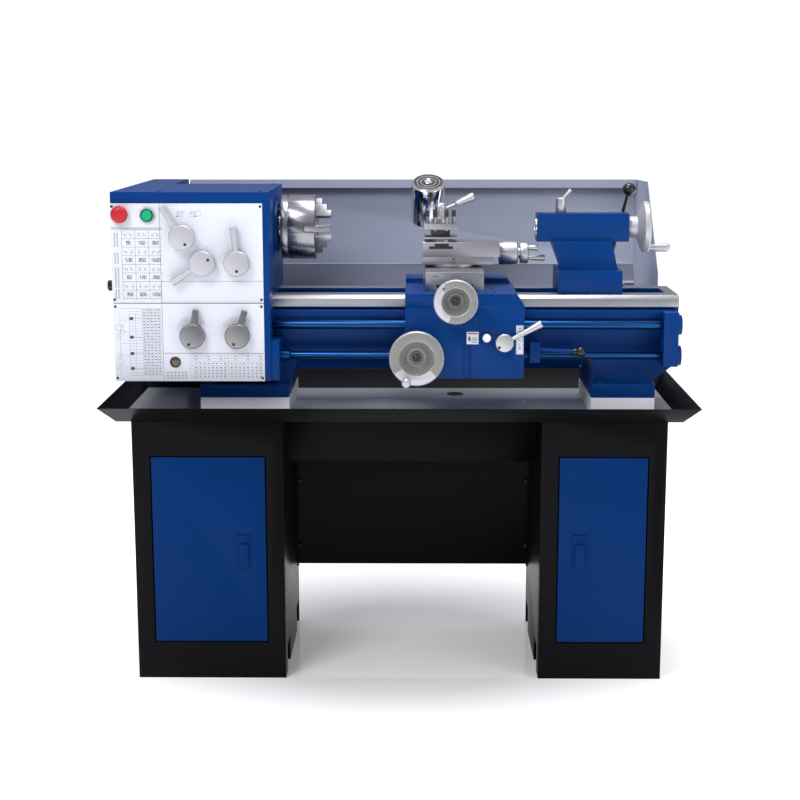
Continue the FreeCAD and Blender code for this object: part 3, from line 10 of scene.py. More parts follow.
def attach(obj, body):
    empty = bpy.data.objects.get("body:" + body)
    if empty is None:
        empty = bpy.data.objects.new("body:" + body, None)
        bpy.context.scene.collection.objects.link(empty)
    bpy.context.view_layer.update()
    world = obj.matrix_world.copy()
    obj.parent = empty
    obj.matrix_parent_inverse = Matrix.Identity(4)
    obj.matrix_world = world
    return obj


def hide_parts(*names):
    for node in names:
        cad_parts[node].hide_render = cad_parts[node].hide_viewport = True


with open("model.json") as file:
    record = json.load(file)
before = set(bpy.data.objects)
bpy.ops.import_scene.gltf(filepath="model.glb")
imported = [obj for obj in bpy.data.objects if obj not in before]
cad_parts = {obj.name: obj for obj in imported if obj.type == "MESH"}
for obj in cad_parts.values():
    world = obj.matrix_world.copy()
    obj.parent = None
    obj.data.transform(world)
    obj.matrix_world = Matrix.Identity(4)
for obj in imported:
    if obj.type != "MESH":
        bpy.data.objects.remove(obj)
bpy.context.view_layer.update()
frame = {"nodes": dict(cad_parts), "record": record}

bl_info = {
    "name": "Metal Lathe",
    "version": (1, 0, 0),
    "blender": (4, 5, 0),
    "location": "View3D > Sidebar > Lathe",
    "description": "Finishes the pieces of a small metal lathe: paint, ground steel and fittings",
    "category": "Add Mesh",
}

MM = 0.001
SPINDLE_LEVEL = 1000.0          # this and the places below are in millimetres
SPINDLE_NOSE = -188.3           # the chuck's front face
APRON_FACE = -198.0
APRON_WHEEL = (38, 737)         # a handwheel's middle, across and up
CROSS_WHEEL = (121, 860)
POST = 92                       # the tool post's middle, across
BED_WAYS = 829                  # faces of the bed above this level are ground
LAMP = Vector((65, 165, 1048))  # the middle of the lamp's can
LAMP_LEAN = radians(28)
MOTOR = (190, 760)              # the motor's axis, back and up
BODY_OF = {node: body for body, nodes in frame["record"]["behaviour"]["bodies"].items()
           for node in nodes}
materials = {}


# ---------------------------------------------------------------- sizes and colours

def colour(name, description, value):
    """A colour that a user would change."""
    return bpy.props.FloatVectorProperty(name=name, description=description, subtype="COLOR",
                                         size=3, min=0, max=1, default=value)


def length(name, description, value):
    """A length that a user would change."""
    return bpy.props.FloatProperty(name=name, description=description, default=value, min=0,
                                   unit="LENGTH")


class LatheColours(bpy.types.PropertyGroup):
    """Paints, platings and prints."""
    machine: colour("Machine blue", "Gloss enamel of the castings", (0.0005, 0.033, 0.165))
    door: colour("Door blue", "Satin enamel of the cabinet doors", (0.0005, 0.024, 0.118))
    stand: colour("Stand black", "Gloss enamel of the cabinets and tray", (0.004, 0.004, 0.005))
    guard: colour("Guard grey", "Satin enamel of the splash guard", (0.33, 0.36, 0.47))
    riser: colour("Riser white", "Satin enamel of the riser blocks", (0.68, 0.68, 0.74))
    plate: colour("Plate silver", "Anodised front plates", (0.62, 0.64, 0.71))
    stop: colour("Stop red", "Moulded plastic of the stop button", (0.42, 0.014, 0.022))
    start: colour("Start green", "Moulded plastic of the start button", (0.0, 0.34, 0.14))


class LatheSizes(bpy.types.PropertyGroup):
    """Sizes of the finish that the castings don't set."""
    casting_edge: length("Casting edge", "Rounding of the castings' edges", 0.003)
    sheet_edge: length("Sheet edge", "Rounding of the folded sheet's edges", 0.0012)
    steel_edge: length("Steel edge", "Rounding of machined edges", 0.0005)


# ---------------------------------------------------------------- materials

def group(name, inputs, outputs):
    """A new shader node group with its inputs, (name, kind, value), and outputs, (name, kind)."""
    tree = bpy.data.node_groups.new(name, "ShaderNodeTree")
    for label, kind, value in inputs:
        socket = tree.interface.new_socket(label, in_out="INPUT", socket_type="NodeSocket" + kind)
        socket.default_value = value
    for label, kind in outputs:
        tree.interface.new_socket(label, in_out="OUTPUT", socket_type="NodeSocket" + kind)
    return tree, tree.nodes.new("NodeGroupInput"), tree.nodes.new("NodeGroupOutput")


def join(tree, *links):
    """Links of a node tree, as (node, output, node, input)."""
    for start, output, end, into in links:
        tree.links.new(start.outputs[output], end.inputs[into])


def make_peel_group():
    """Fine unevenness of sprayed enamel over a casting or a sheet."""
    tree, into, out = group("enamel_peel", [("Scale", "Float", 300.0), ("Height", "Float", 0.02),
                                            ("Smudge", "Float", 0.05), ("Gloss", "Float", 0.2)],
                            [("Normal", "Vector"), ("Roughness", "Float")])
    place = tree.nodes.new("ShaderNodeTexCoord")
    peel = tree.nodes.new("ShaderNodeTexNoise")
    peel.inputs["Detail"].default_value = 2
    bump = tree.nodes.new("ShaderNodeBump")
    bump.inputs["Distance"].default_value = 0.001
    cloud = tree.nodes.new("ShaderNodeTexNoise")
    cloud.inputs["Scale"].default_value = 9
    cloud.inputs["Detail"].default_value = 5
    spread = tree.nodes.new("ShaderNodeMath")
    spread.operation = "MULTIPLY_ADD"
    join(tree, (place, "Object", peel, "Vector"), (into, "Scale", peel, "Scale"),
         (peel, "Fac", bump, "Height"), (into, "Height", bump, "Strength"),
         (bump, "Normal", out, "Normal"), (place, "Object", cloud, "Vector"),
         (cloud, "Fac", spread, 0), (into, "Smudge", spread, 1), (into, "Gloss", spread, 2),
         (spread, 0, out, "Roughness"))
    return tree


def make_grain_group():
    """Lines left by grinding along one axis, or rings left by turning round one."""
    tree, into, out = group("tool_marks", [("Stretch", "Vector", (1.0, 1.0, 1.0)),
                                           ("Scale", "Float", 900.0), ("Height", "Float", 0.05),
                                           ("Gloss", "Float", 0.25), ("Spread", "Float", 0.15)],
                            [("Normal", "Vector"), ("Roughness", "Float"), ("Shade", "Float")])
    place = tree.nodes.new("ShaderNodeTexCoord")
    squeeze = tree.nodes.new("ShaderNodeVectorMath")
    squeeze.operation = "MULTIPLY"
    lines = tree.nodes.new("ShaderNodeTexNoise")
    lines.inputs["Detail"].default_value = 3
    bump = tree.nodes.new("ShaderNodeBump")
    bump.inputs["Distance"].default_value = 0.0006
    spread = tree.nodes.new("ShaderNodeMath")
    spread.operation = "MULTIPLY_ADD"
    join(tree, (place, "Object", squeeze, 0), (into, "Stretch", squeeze, 1),
         (squeeze, 0, lines, "Vector"), (into, "Scale", lines, "Scale"), (lines, "Fac", bump, "Height"),
         (into, "Height", bump, "Strength"), (bump, "Normal", out, "Normal"), (lines, "Fac", spread, 0),
         (into, "Spread", spread, 1), (into, "Gloss", spread, 2), (spread, 0, out, "Roughness"),
         (lines, "Fac", out, "Shade"))
    return tree


def make_tint_group():
    """Slow drift between two close tints, as paint and plating have."""
    tree, into, out = group("tint_drift", [("Tint", "Color", (0.5, 0.5, 0.5, 1)),
                                           ("Scale", "Float", 6.0), ("Drift", "Float", 0.15)],
                            [("Color", "Color")])
    place = tree.nodes.new("ShaderNodeTexCoord")
    cloud = tree.nodes.new("ShaderNodeTexNoise")
    cloud.inputs["Detail"].default_value = 4
    lift = tree.nodes.new("ShaderNodeMath")
    lift.operation = "MULTIPLY"
    base = tree.nodes.new("ShaderNodeMath")
    base.operation = "SUBTRACT"
    base.inputs[1].default_value = 0.5
    tint = tree.nodes.new("ShaderNodeHueSaturation")
    swing = tree.nodes.new("ShaderNodeMath")
    swing.inputs[1].default_value = 1.0
    join(tree, (place, "Object", cloud, "Vector"), (into, "Scale", cloud, "Scale"),
         (cloud, "Fac", base, 0), (base, 0, lift, 0), (into, "Drift", lift, 1), (lift, 0, swing, 0),
         (swing, 0, tint, "Value"), (into, "Tint", tint, "Color"), (tint, "Color", out, "Color"))
    return tree


def shaded(name, rgb, metallic=0.0, coat=0.0, specular=0.5, transmission=0.0):
    """A new material's node tree and shader, whose plain sockets are set on the shader itself."""
    material = bpy.data.materials.new(name)
    material.use_nodes = True
    shader = material.node_tree.nodes["Principled BSDF"]
    shader.inputs["Base Color"].default_value = (*rgb, 1)
    shader.inputs["Metallic"].default_value = metallic
    shader.inputs["Coat Weight"].default_value = coat
    shader.inputs["Coat Roughness"].default_value = 0.04
    shader.inputs["Specular IOR Level"].default_value = specular
    shader.inputs["Transmission Weight"].default_value = transmission
    materials[name] = material
    return material.node_tree, shader


def placed(tree, shared, **values):
    """A shared group placed in a material with its own values."""
    node = tree.nodes.new("ShaderNodeGroup")
    node.node_tree = shared
    for label, value in values.items():
        node.inputs[label].default_value = value
    return node


def make_enamel(name, rgb, gloss, groups, peel=0.03, scale=350.0, drift=0.12, coat=0.0,
                specular=0.3):
    """A sprayed enamel."""
    tree, shader = shaded(name, rgb, coat=coat, specular=specular)
    skin = placed(tree, groups["peel"], Scale=scale, Height=peel, Gloss=gloss, Smudge=0.08)
    tint = placed(tree, groups["tint"], Tint=(*rgb, 1), Drift=drift)
    join(tree, (skin, "Normal", shader, "Normal"), (skin, "Roughness", shader, "Roughness"),
         (tint, "Color", shader, "Base Color"))


def make_metal(name, rgb, gloss, groups, stretch, scale=900.0, height=0.05, spread=0.12,
               drift=0.1, metallic=1.0):
    """A ground, turned or polished metal."""
    tree, shader = shaded(name, rgb, metallic=metallic)
    marks = placed(tree, groups["grain"], Stretch=stretch, Scale=scale, Height=height, Gloss=gloss,
                   Spread=spread)
    tint = placed(tree, groups["tint"], Tint=(*rgb, 1), Drift=drift, Scale=14.0)
    join(tree, (marks, "Normal", shader, "Normal"), (marks, "Roughness", shader, "Roughness"),
         (tint, "Color", shader, "Base Color"))


def make_materials(paints):
    """Every finish of the lathe, and the painted shade and painted reflection that some faces take."""
    groups = {"peel": make_peel_group(), "grain": make_grain_group(), "tint": make_tint_group()}
    make_enamel("machine_blue", paints.machine, 0.3, groups, peel=0.05, scale=260.0, specular=0.1)
    make_enamel("door_blue", paints.door, 0.4, groups, peel=0.06, scale=500.0, specular=0.05)
    make_enamel("stand_black", paints.stand, 0.3, groups, peel=0.03, scale=400.0, specular=0.05)
    # Painted reflection: grey on the black tray's floor stands in for the guard reflected in it.
    make_enamel("tray_floor", (0.30, 0.33, 0.36), 0.22, groups, peel=0.03, scale=90.0)
    make_enamel("guard_grey", paints.guard, 0.33, groups, peel=0.05, scale=420.0)
    make_enamel("riser_white", paints.riser, 0.3, groups)
    make_enamel("plate_silver", paints.plate, 0.5, groups, peel=0.03, scale=900.0, drift=0.04,
                specular=0.15)
    make_enamel("print_grey", (0.06, 0.06, 0.08), 0.5, groups)
    make_enamel("print_black", (0.02, 0.02, 0.024), 0.45, groups)
    make_enamel("print_red", (0.34, 0.09, 0.10), 0.45, groups)
    make_enamel("stop_red", paints.stop, 0.3, groups)
    make_enamel("start_green", paints.start, 0.22, groups)
    make_enamel("bezel_green", (0.0, 0.10, 0.075), 0.25, groups)
    make_enamel("knob_white", (0.80, 0.81, 0.83), 0.14, groups, peel=0.0, coat=0.4)
    make_enamel("knob_black", (0.008, 0.008, 0.009), 0.12, groups, peel=0.01, coat=0.4)
    make_enamel("lamp_white", (0.86, 0.86, 0.84), 0.4, groups)
    make_enamel("belt_rubber", (0.02, 0.02, 0.022), 0.75, groups, peel=0.2, scale=700.0)
    make_metal("ground_steel", (0.34, 0.34, 0.37), 0.32, groups, (0.02, 1.0, 1.0))
    make_metal("turned_steel", (0.26, 0.26, 0.29), 0.2, groups, (1.0, 0.06, 0.06), height=0.08)
    make_metal("bright_chrome", (0.72, 0.72, 0.74), 0.07, groups, (1, 1, 1), scale=60.0, height=0.01,
               spread=0.05, drift=0.05)
    make_metal("satin_chrome", (0.46, 0.46, 0.49), 0.34, groups, (1.0, 1.0, 1.0), scale=600.0,
               height=0.04)
    make_metal("cast_silver", (0.46, 0.46, 0.50), 0.36, groups, (1, 1, 1), scale=500.0, height=0.06,
               metallic=0.55)
    # Painted shade: a darker grey for the handwheels' bowls, where shade falls inside them.
    make_metal("bowl_painted_shade", (0.22, 0.225, 0.22), 0.42, groups, (1, 1, 1), scale=500.0, height=0.06,
               metallic=0.4)
    make_metal("dark_steel", (0.06, 0.06, 0.065), 0.3, groups, (1, 1, 1), scale=300.0, height=0.06)
    make_metal("blued_steel", (0.012, 0.06, 0.19), 0.24, groups, (0.05, 1, 1), scale=500.0, height=0.04)
    make_metal("brushed_steel", (0.24, 0.24, 0.25), 0.3, groups, (1.0, 1.0, 0.05), height=0.1)
    tree, shader = shaded("sight_glass", (0.16, 0.12, 0.05), transmission=0.3)
    skin = placed(tree, groups["peel"], Scale=60.0, Height=0.01, Gloss=0.05, Smudge=0.05)
    join(tree, (skin, "Normal", shader, "Normal"), (skin, "Roughness", shader, "Roughness"))


# ---------------------------------------------------------------- shaping helpers

def finish_piece(name, bm, body, material, replaced=(), slot=None, edge=0.0, segments=2,
                 angle=32, smooth=True):
    """A finished piece from a bmesh: its mesh, finish, edges and the body that it rides on."""
    mesh = bpy.data.meshes.new(name)
    bm.to_mesh(mesh)
    bm.free()
    mesh.materials.append(materials[material])
    piece = bpy.data.objects.new(name, mesh)
    bpy.context.scene.collection.objects.link(piece)
    mesh.shade_smooth() if smooth else mesh.shade_flat()
    if edge:
        bevel = piece.modifiers.new("edges", "BEVEL")
        bevel.width = edge
        bevel.segments = segments
        bevel.limit_method = "ANGLE"
        bevel.angle_limit = radians(angle)
        bevel.use_clamp_overlap = True
        bevel.harden_normals = True
    elif smooth:
        mesh.set_sharp_from_angle(angle=radians(angle))
    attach(piece, body)
    if replaced:
        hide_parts(*replaced)
    return piece


def merged_copy(node):
    """A CAD node's shape as one clean bmesh."""
    bm = bmesh.new()
    bm.from_mesh(frame["nodes"][node].data)
    bmesh.ops.remove_doubles(bm, verts=bm.verts, dist=2e-6)
    bmesh.ops.dissolve_limit(bm, angle_limit=radians(0.5), use_dissolve_boundaries=False,
                             verts=bm.verts, edges=bm.edges, delimit={"NORMAL"})
    return bm


def softened(node, material, edge, second=None):
    """A CAD node's shape with its edges rounded; faces that pass a test get a second finish, which may
    be painted shade or a painted reflection.
    """
    bm = merged_copy(node)
    if second:
        other, passes, level = second
        if level:
            bmesh.ops.bisect_plane(bm, geom=bm.verts[:] + bm.edges[:] + bm.faces[:], dist=1e-7,
                                   plane_co=(0, 0, level * MM), plane_no=(0, 0, 1))
        for face in bm.faces:
            face.material_index = int(passes(face.calc_center_median() / MM, face.normal))
    piece = finish_piece(node + "_finished", bm, BODY_OF[node], material, (node,), edge=edge)
    if second:
        piece.data.materials.append(materials[other])
    return piece


def add_box(bm, low, high):
    """A box between two corners."""
    low, high = Vector(low) * MM, Vector(high) * MM
    place = Matrix.Translation((low + high) / 2) @ Matrix.Diagonal((*(high - low), 1))
    bmesh.ops.create_cube(bm, size=1, matrix=place)


def add_rod(bm, start, end, radius, tip=None, segments=32):
    """A round rod between two points, tapered if it has a tip radius."""
    start, end = Vector(start) * MM, Vector(end) * MM
    turn = (end - start).to_track_quat("Z", "Y").to_matrix().to_4x4()
    bmesh.ops.create_cone(bm, cap_ends=True, segments=segments, radius1=radius * MM,
                          radius2=(radius if tip is None else tip) * MM,
                          depth=(end - start).length,
                          matrix=Matrix.Translation((start + end) / 2) @ turn)


def add_turning(bm, at, aim, outline, closed=False, steps=64):
    """A turned shape: an outline of (distance along, radius) spun about an aim."""
    at, aim = Vector(at) * MM, Vector(aim).normalized()
    side = aim.orthogonal().normalized()
    verts = [bm.verts.new(at + (aim * along + side * radius) * MM) for along, radius in outline]
    edges = [bm.edges.new(pair) for pair in zip(verts, verts[1:])]
    if closed:
        edges.append(bm.edges.new((verts[-1], verts[0])))
    bmesh.ops.spin(bm, geom=verts + edges, cent=at, axis=aim, angle=tau, steps=steps, use_merge=True)
    bmesh.ops.remove_doubles(bm, verts=bm.verts, dist=1e-7)
    bmesh.ops.recalc_face_normals(bm, faces=bm.faces)


def add_hexagon(bm, at, aim, across, height):
    """A hexagon bolt head standing on a point."""
    at, aim = Vector(at), Vector(aim).normalized()
    add_rod(bm, at - aim * 0.2, at + aim * height, across / 2, segments=6)


def smooth_run(points, steps=6):
    """A smooth run through a few (distance along, radius) points."""
    result = []
    last = len(points) - 1
    for index in range(last):
        before, start = Vector(points[max(index - 1, 0)]), Vector(points[index])
        end, after = Vector(points[index + 1]), Vector(points[min(index + 2, last)])
        for step in range(steps):
            t = step / steps
            spot = 0.5 * (2 * start + (end - before) * t
                          + (2 * before - 5 * start + 4 * end - after) * t ** 2
                          + (3 * start - before - 3 * end + after) * t ** 3)
            result.append((spot.x, max(spot.y, 0)))
    return result + [points[-1]]


def made(name, body, material, draw, **options):
    """A finished piece whose shape a function draws."""
    bm = bmesh.new()
    draw(bm)
    return finish_piece(name, bm, body, material, **options)


# ---------------------------------------------------------------- operators

class LatheOperator:
    """What the lathe's operators share."""
    bl_options = {"REGISTER", "UNDO"}

    def execute(self, context):
        """Make the pieces; a failure raises."""
        self.make(context.scene.lathe_colours, context.scene.lathe_sizes)
        return {"FINISHED"}


class LATHE_OT_materials(LatheOperator, bpy.types.Operator):
    """Make every paint, plating and print"""
    bl_idname = "lathe.materials"
    bl_label = "Finishes"

    def make(self, paints, sizes):
        make_materials(paints)


GUARD_SHADE_LEVEL = 672                # below this level the guard takes the castings' blue as painted shade and a painted blue reflection

# Each CAD node's finish and how far its edges are rounded: casting, sheet or steel.
NODE_FINISHES = {
    "left_cabinet": ("stand_black", "sheet"), "right_cabinet": ("stand_black", "sheet"),
    "cross_beam": ("stand_black", "sheet"), "back_panel": ("stand_black", "sheet"),
    "stand_bolts": ("dark_steel", "steel"), "chip_tray": ("stand_black", "sheet"),
    "riser_blocks": ("riser_white", "sheet"), "left_door": ("door_blue", "sheet"),
    "right_door": ("door_blue", "sheet"), "left_latch": ("door_blue", "sheet"),
    "right_latch": ("door_blue", "sheet"), "bed_pedestals": ("machine_blue", "casting"),
    "bed": ("machine_blue", "steel"), "rack": ("machine_blue", "steel"),
    "leadscrew_bracket": ("machine_blue", "casting"), "headstock_housing": ("machine_blue", "casting"),
    "front_panels": ("plate_silver", "steel"), "feed_gearbox": ("machine_blue", "casting"),
    "cover_backplate": ("machine_blue", "steel"), "end_cover": ("machine_blue", "casting"),
    "spindle_bearings": ("ground_steel", "steel"), "motor": ("machine_blue", "sheet"),
    "drive_belt": ("belt_rubber", "steel"), "splash_guard": ("guard_grey", "none"),
    "spindle": ("turned_steel", "steel"), "spindle_pulley": ("cast_silver", "steel"),
    "motor_pulley": ("cast_silver", "steel"), "chuck_body": ("turned_steel", "steel"),
    "chuck_jaw_1": ("ground_steel", "steel"), "chuck_jaw_2": ("ground_steel", "steel"),
    "chuck_jaw_3": ("ground_steel", "steel"), "leadscrew": ("blued_steel", "steel"),
    "feed_rod": ("blued_steel", "steel"), "saddle": ("machine_blue", "sheet"),
    "apron": ("machine_blue", "sheet"), "lamp_arm": ("knob_black", "steel"),
    "lamp_head": ("bright_chrome", "steel"), "cross_slide": ("ground_steel", "steel"),
    "compound_base": ("ground_steel", "steel"), "top_slide": ("ground_steel", "steel"),
    "toolpost": ("ground_steel", "steel"),
    "compound_handwheel": ("satin_chrome", "steel"), "apron_handwheel": ("cast_silver", "steel"),
    "cross_handwheel": ("cast_silver", "steel"), "tailstock_handwheel": ("cast_silver", "steel"),
    "halfnut_lever": ("satin_chrome", "steel"), "selector_knob": ("knob_white", "none"),
    "control_lever": ("machine_blue", "steel"), "tailstock_body": ("machine_blue", "casting"),
    "quill": ("bright_chrome", "steel"), "quill_lock": ("satin_chrome", "steel"),
    "tailstock_clamp_lever": ("knob_black", "none"), "speed_lever_1": ("cast_silver", "steel"),
    "speed_lever_2": ("cast_silver", "steel"), "speed_lever_3": ("cast_silver", "steel"),
    "feed_lever_1": ("brushed_steel", "steel"), "feed_lever_2": ("brushed_steel", "steel"),
}


# Faces with a second finish, some of them painted shade or a painted reflection: the finish, a test of a
# face's middle and normal, and the level, if any, at which the piece's faces are divided for it.
SECOND_FINISHES = {
    "bed": ("ground_steel", lambda spot, normal: spot.z > BED_WAYS
            and (normal.z > 0.9 or abs(spot.y) > 80), None),
    # Painted reflection: the tray's floor takes grey for the guard reflected in it.
    "chip_tray": ("tray_floor", lambda spot, normal: normal.z > 0.9 and spot.z < 600, None),
    # Painted shade: the guard's faces below this level take the castings' blue, a painted dark band with
    # a painted blue reflection behind the bed.
    "splash_guard": ("machine_blue", lambda spot, normal: spot.z < GUARD_SHADE_LEVEL, GUARD_SHADE_LEVEL),
    # Painted shade: the insides of the two handwheels' bowls take a darker grey.
    "apron_handwheel": ("bowl_painted_shade", lambda spot, normal: spot.y < -214 and normal.y < 0.3
                        and (spot.xz - Vector(APRON_WHEEL)).length < 37.6, None),
    "cross_handwheel": ("bowl_painted_shade", lambda spot, normal: spot.y < -222 and normal.y < 0.3
                        and (spot.xz - Vector(CROSS_WHEEL)).length < 30.2, None),
    # Painted shade: the tool post's core between its plates takes dark steel for the shade between them.
    "toolpost": ("dark_steel", lambda spot, normal: 979 < spot.z < 996 and abs(normal.z) < 0.5
                 and abs(spot.x - POST) < 22 and abs(spot.y) < 22, None),
}


class LATHE_OT_castings(LatheOperator, bpy.types.Operator):
    """Give every designed piece its finish and its rounded edges"""
    bl_idname = "lathe.castings"
    bl_label = "Castings and sheet"

    def make(self, paints, sizes):
        edges = {"casting": sizes.casting_edge, "sheet": sizes.sheet_edge,
                 "steel": sizes.steel_edge, "none": 0}
        for node, (material, kind) in NODE_FINISHES.items():
            softened(node, material, edges[kind], SECOND_FINISHES.get(node))


# ---------------------------------------------------------------- prints

FRONT = -187.0      # the front plates' face
INK = 0.16          # how far a print stands off its plate
DIGITS = {          # strokes of each digit, on a grid two wide and four tall
    "0": ["00 20 24 04 00"], "1": ["10 14 03"], "2": ["04 24 22 02 00 20"],
    "3": ["04 24 20 00", "02 22"], "4": ["04 02 22", "24 20"], "5": ["24 04 02 22 20 00"],
    "6": ["24 04 00 20 22 02"], "7": ["04 24 10"], "8": ["00 20 24 04 00", "02 22"],
    "9": ["22 02 04 24 20 00"],
}
SPEEDS = ("90 160 360", "530 850 1600", "60 120 280", "350 600 1050")


def add_stroke(bm, start, end, width, face=FRONT):
    """A printed stroke between two (x, z) points of a plate's face."""
    start, end = Vector((start[0], face, start[1])), Vector((end[0], face, end[1]))
    along = end - start
    turn = Matrix.Rotation(-atan2(along.z, along.x), 4, "Y")
    size = Matrix.Diagonal((along.length * MM, 2 * INK * MM, width * MM, 1))
    bmesh.ops.create_cube(bm, size=1, matrix=Matrix.Translation((start + end) / 2 * MM) @ turn @ size)


def add_frame(bm, left, right, low, high, width, face=FRONT):
    """A printed rectangle."""
    for start, end in (((left, low), (right, low)), ((left, high), (right, high)),
                       ((left, low), (left, high)), ((right, low), (right, high))):
        add_stroke(bm, start, end, width, face)


def add_number(bm, text, x, z, height, width, face=FRONT):
    """A printed number centred on a point."""
    unit = height / 4
    left = x - (len(text) * 3 - 1) * unit / 2
    for place, digit in enumerate(text):
        for run in DIGITS[digit]:
            spots = [(left + (place * 3 + int(spot[0])) * unit, z + (int(spot[1]) - 2) * unit)
                     for spot in run.split()]
            for start, end in zip(spots, spots[1:]):
                add_stroke(bm, start, end, width, face)


def add_arc(bm, x, z, radius, start, end, width, face=FRONT, steps=12):
    """A printed arc, in degrees clockwise from the top."""
    spots = [(x + radius * sin(radians(start + (end - start) * step / steps)),
              z + radius * cos(radians(start + (end - start) * step / steps)))
             for step in range(steps + 1)]
    for one, other in zip(spots, spots[1:]):
        add_stroke(bm, one, other, width, face)


def draw_speed_table(bm):
    """The table of spindle speeds: a row of lever marks over each row of numbers."""
    columns = [-596.5 + 29 * step for step in range(4)]
    rows = [1008 - 18.6 * step for step in range(9)]
    for x in columns[:3]:
        add_stroke(bm, (x, rows[0]), (x, rows[-1]), 0.5)
    for z in rows:
        add_stroke(bm, (columns[0], z), (columns[-1], z), 0.5)
    for z in (1012, 1009.6):
        add_stroke(bm, (-619, z), (columns[-1], z), 0.7)
    for line, speeds in enumerate(SPEEDS):
        z = rows[2 * line + 1] - 9.3
        for x, speed in zip(columns, speeds.split()):
            add_number(bm, speed, x + 14.5, z, 6.8, 1.15)
    for low, high in ((972, 1000), (936, 958), (884, 926), (860, 880)):
        for x in (-611.5, -605.5):
            tick = low
            while tick < high:
                add_stroke(bm, (x - 1.4, tick), (x + 1.4, tick + 0.6), 0.9)
                tick += 2.3


def draw_lever_marks(bm):
    """Small drawings of the two knobs' settings over each speed."""
    for row in range(4):
        z = 1008 - 18.6 * 2 * row - 9.3
        for column in range(3):
            x = -596.5 + 29 * column + 14.5
            for side, swing in ((-6, -50 + 45 * column), (6, 40 if row % 2 else -35)):
                add_arc(bm, x + side, z - 2.4, 2.2, 0, 360, 0.5, steps=8)
                add_stroke(bm, (x + side + 2 * sin(radians(swing)), z - 2.4 + 2 * cos(radians(swing))),
                           (x + side + 6.5 * sin(radians(swing)), z - 2.4 + 6.5 * cos(radians(swing))),
                           0.7)


def draw_borders(bm):
    """Long lines that divide the plates, and the sketches of feed directions."""
    add_stroke(bm, (-513.5, 850.5), (-513.5, 1063.5), 0.7)
    add_stroke(bm, (-513.5, 679), (-513.5, 848), 0.7)
    add_stroke(bm, (-513.5, 897), (-294, 897), 0.6)
    add_stroke(bm, (-513.5, 739), (-294, 739), 0.6)
    add_stroke(bm, (-513.5, 740.6), (-294, 740.6), 0.3)
    add_stroke(bm, (-513.5, 852.5), (-294, 852.5), 0.3)
    for start, end in ((-462, -478), (-450, -434)):
        add_stroke(bm, (start, 1037), (end, 1037), 0.6)
        tip = 1 if end > start else -1
        for rise in (1.4, 0.7, -0.7, -1.4):
            add_stroke(bm, (end - 4 * tip, 1037 + rise), (end, 1037), 0.7)
        add_frame(bm, min(start, end) + 3, max(start, end) - 1, 1041, 1047, 0.4)
        add_stroke(bm, (start, 1044), (end, 1044), 0.4)
    add_arc(bm, -431, 1043, 6.5, -30, 200, 0.4)


def draw_feed_marks(bm):
    """Scales round the two feed knobs."""
    for x in (-447.9, -350.1):
        for radius in (31.5, 40.5):
            add_arc(bm, x, 779, radius, -52, 40, 0.4)
        for angle in (-52, -34, -16, 2, 20, 40):
            aim = Vector((sin(radians(angle)), cos(radians(angle))))
            spot = Vector((x, 779))
            add_stroke(bm, spot + aim * 31.5, spot + aim * 40.5, 0.4)
    for place, angle in enumerate((-43, -25, -7, 11, 30), 1):
        for x in (-447.9, -350.1):
            add_number(bm, str(place), x + 36 * sin(radians(angle)), 779 + 36 * cos(radians(angle)),
                       4, 0.5)


def draw_thread_chart(bm):
    """The chart of pitches and change wheels down the left, and the one below the knobs."""
    for step in range(24):
        z = 838 - 6.4 * step
        add_stroke(bm, (-586 if step % 4 else -606, z), (-517, z), 0.28)
    for x in (-606, -586, -572, -557, -549, -541, -533, -525, -517):
        add_stroke(bm, (x, 690.8), (x, 838 if x > -570 else 828), 0.28)
    for row in range(23):
        for column in range(5):
            wide = 3.2 + (row * 7 + column * 5) % 3
            x, z = -553 + column * 8, 834.8 - 6.4 * row
            add_stroke(bm, (x - wide / 2, z), (x + wide / 2, z), 1.7)
    for z in (816, 775, 739, 706):
        add_stroke(bm, (-585, z), (-577, z), 6.5)
        add_stroke(bm, (-577, z), (-558, z), 0.5)
    for x, z, radius in ((-609, 796, 7), (-600, 786, 5), (-610, 777, 4.5), (-600, 800, 3),
                         (-608, 735, 5), (-606, 722, 6), (-612, 709, 3.5)):
        add_arc(bm, x, z, radius, 0, 360, 0.35)
    for z in (736, 729, 722, 712, 705.5, 699, 692.5, 686):
        add_stroke(bm, (-455, z), (-299, z), 0.28)
    for x in (-455, -447, -380, -372, -299):
        add_stroke(bm, (x, 686), (x, 736), 0.28)
    for row, z in enumerate((732.5, 725.5, 717, 708.7, 702.2, 695.7, 689.2)):
        for column in range(16):
            x = -442 + column * 9 + (5 if column > 7 else 0)
            if x < -301 and not (row < 2 and column % 3):
                add_stroke(bm, (x - 1.6 - (row + column) % 2, z), (x + 1.8, z), 1.5)
    for z in (700, 694, 688):
        add_stroke(bm, (-510, z), (-462, z), 0.28)
        for column in range(6):
            add_stroke(bm, (-507 + column * 8, z - 3), (-503 + column * 8, z - 3), 1.4)


def draw_plate_screws(bm):
    """Button-head screws at the plates' corners."""
    for left, right, low, high in ((-615.5, -297.5, 857, 1057.5), (-615, -298, 685, 842)):
        for x in (left, right):
            for z in (low, high):
                add_turning(bm, (x, FRONT + 0.1, z), (0, -1, 0),
                            [(0, 0), (0, 2.9), (0.9, 2.7), (1.6, 1.9), (1.7, 1.2), (0.8, 1.1), (0.8, 0)],
                            steps=16)


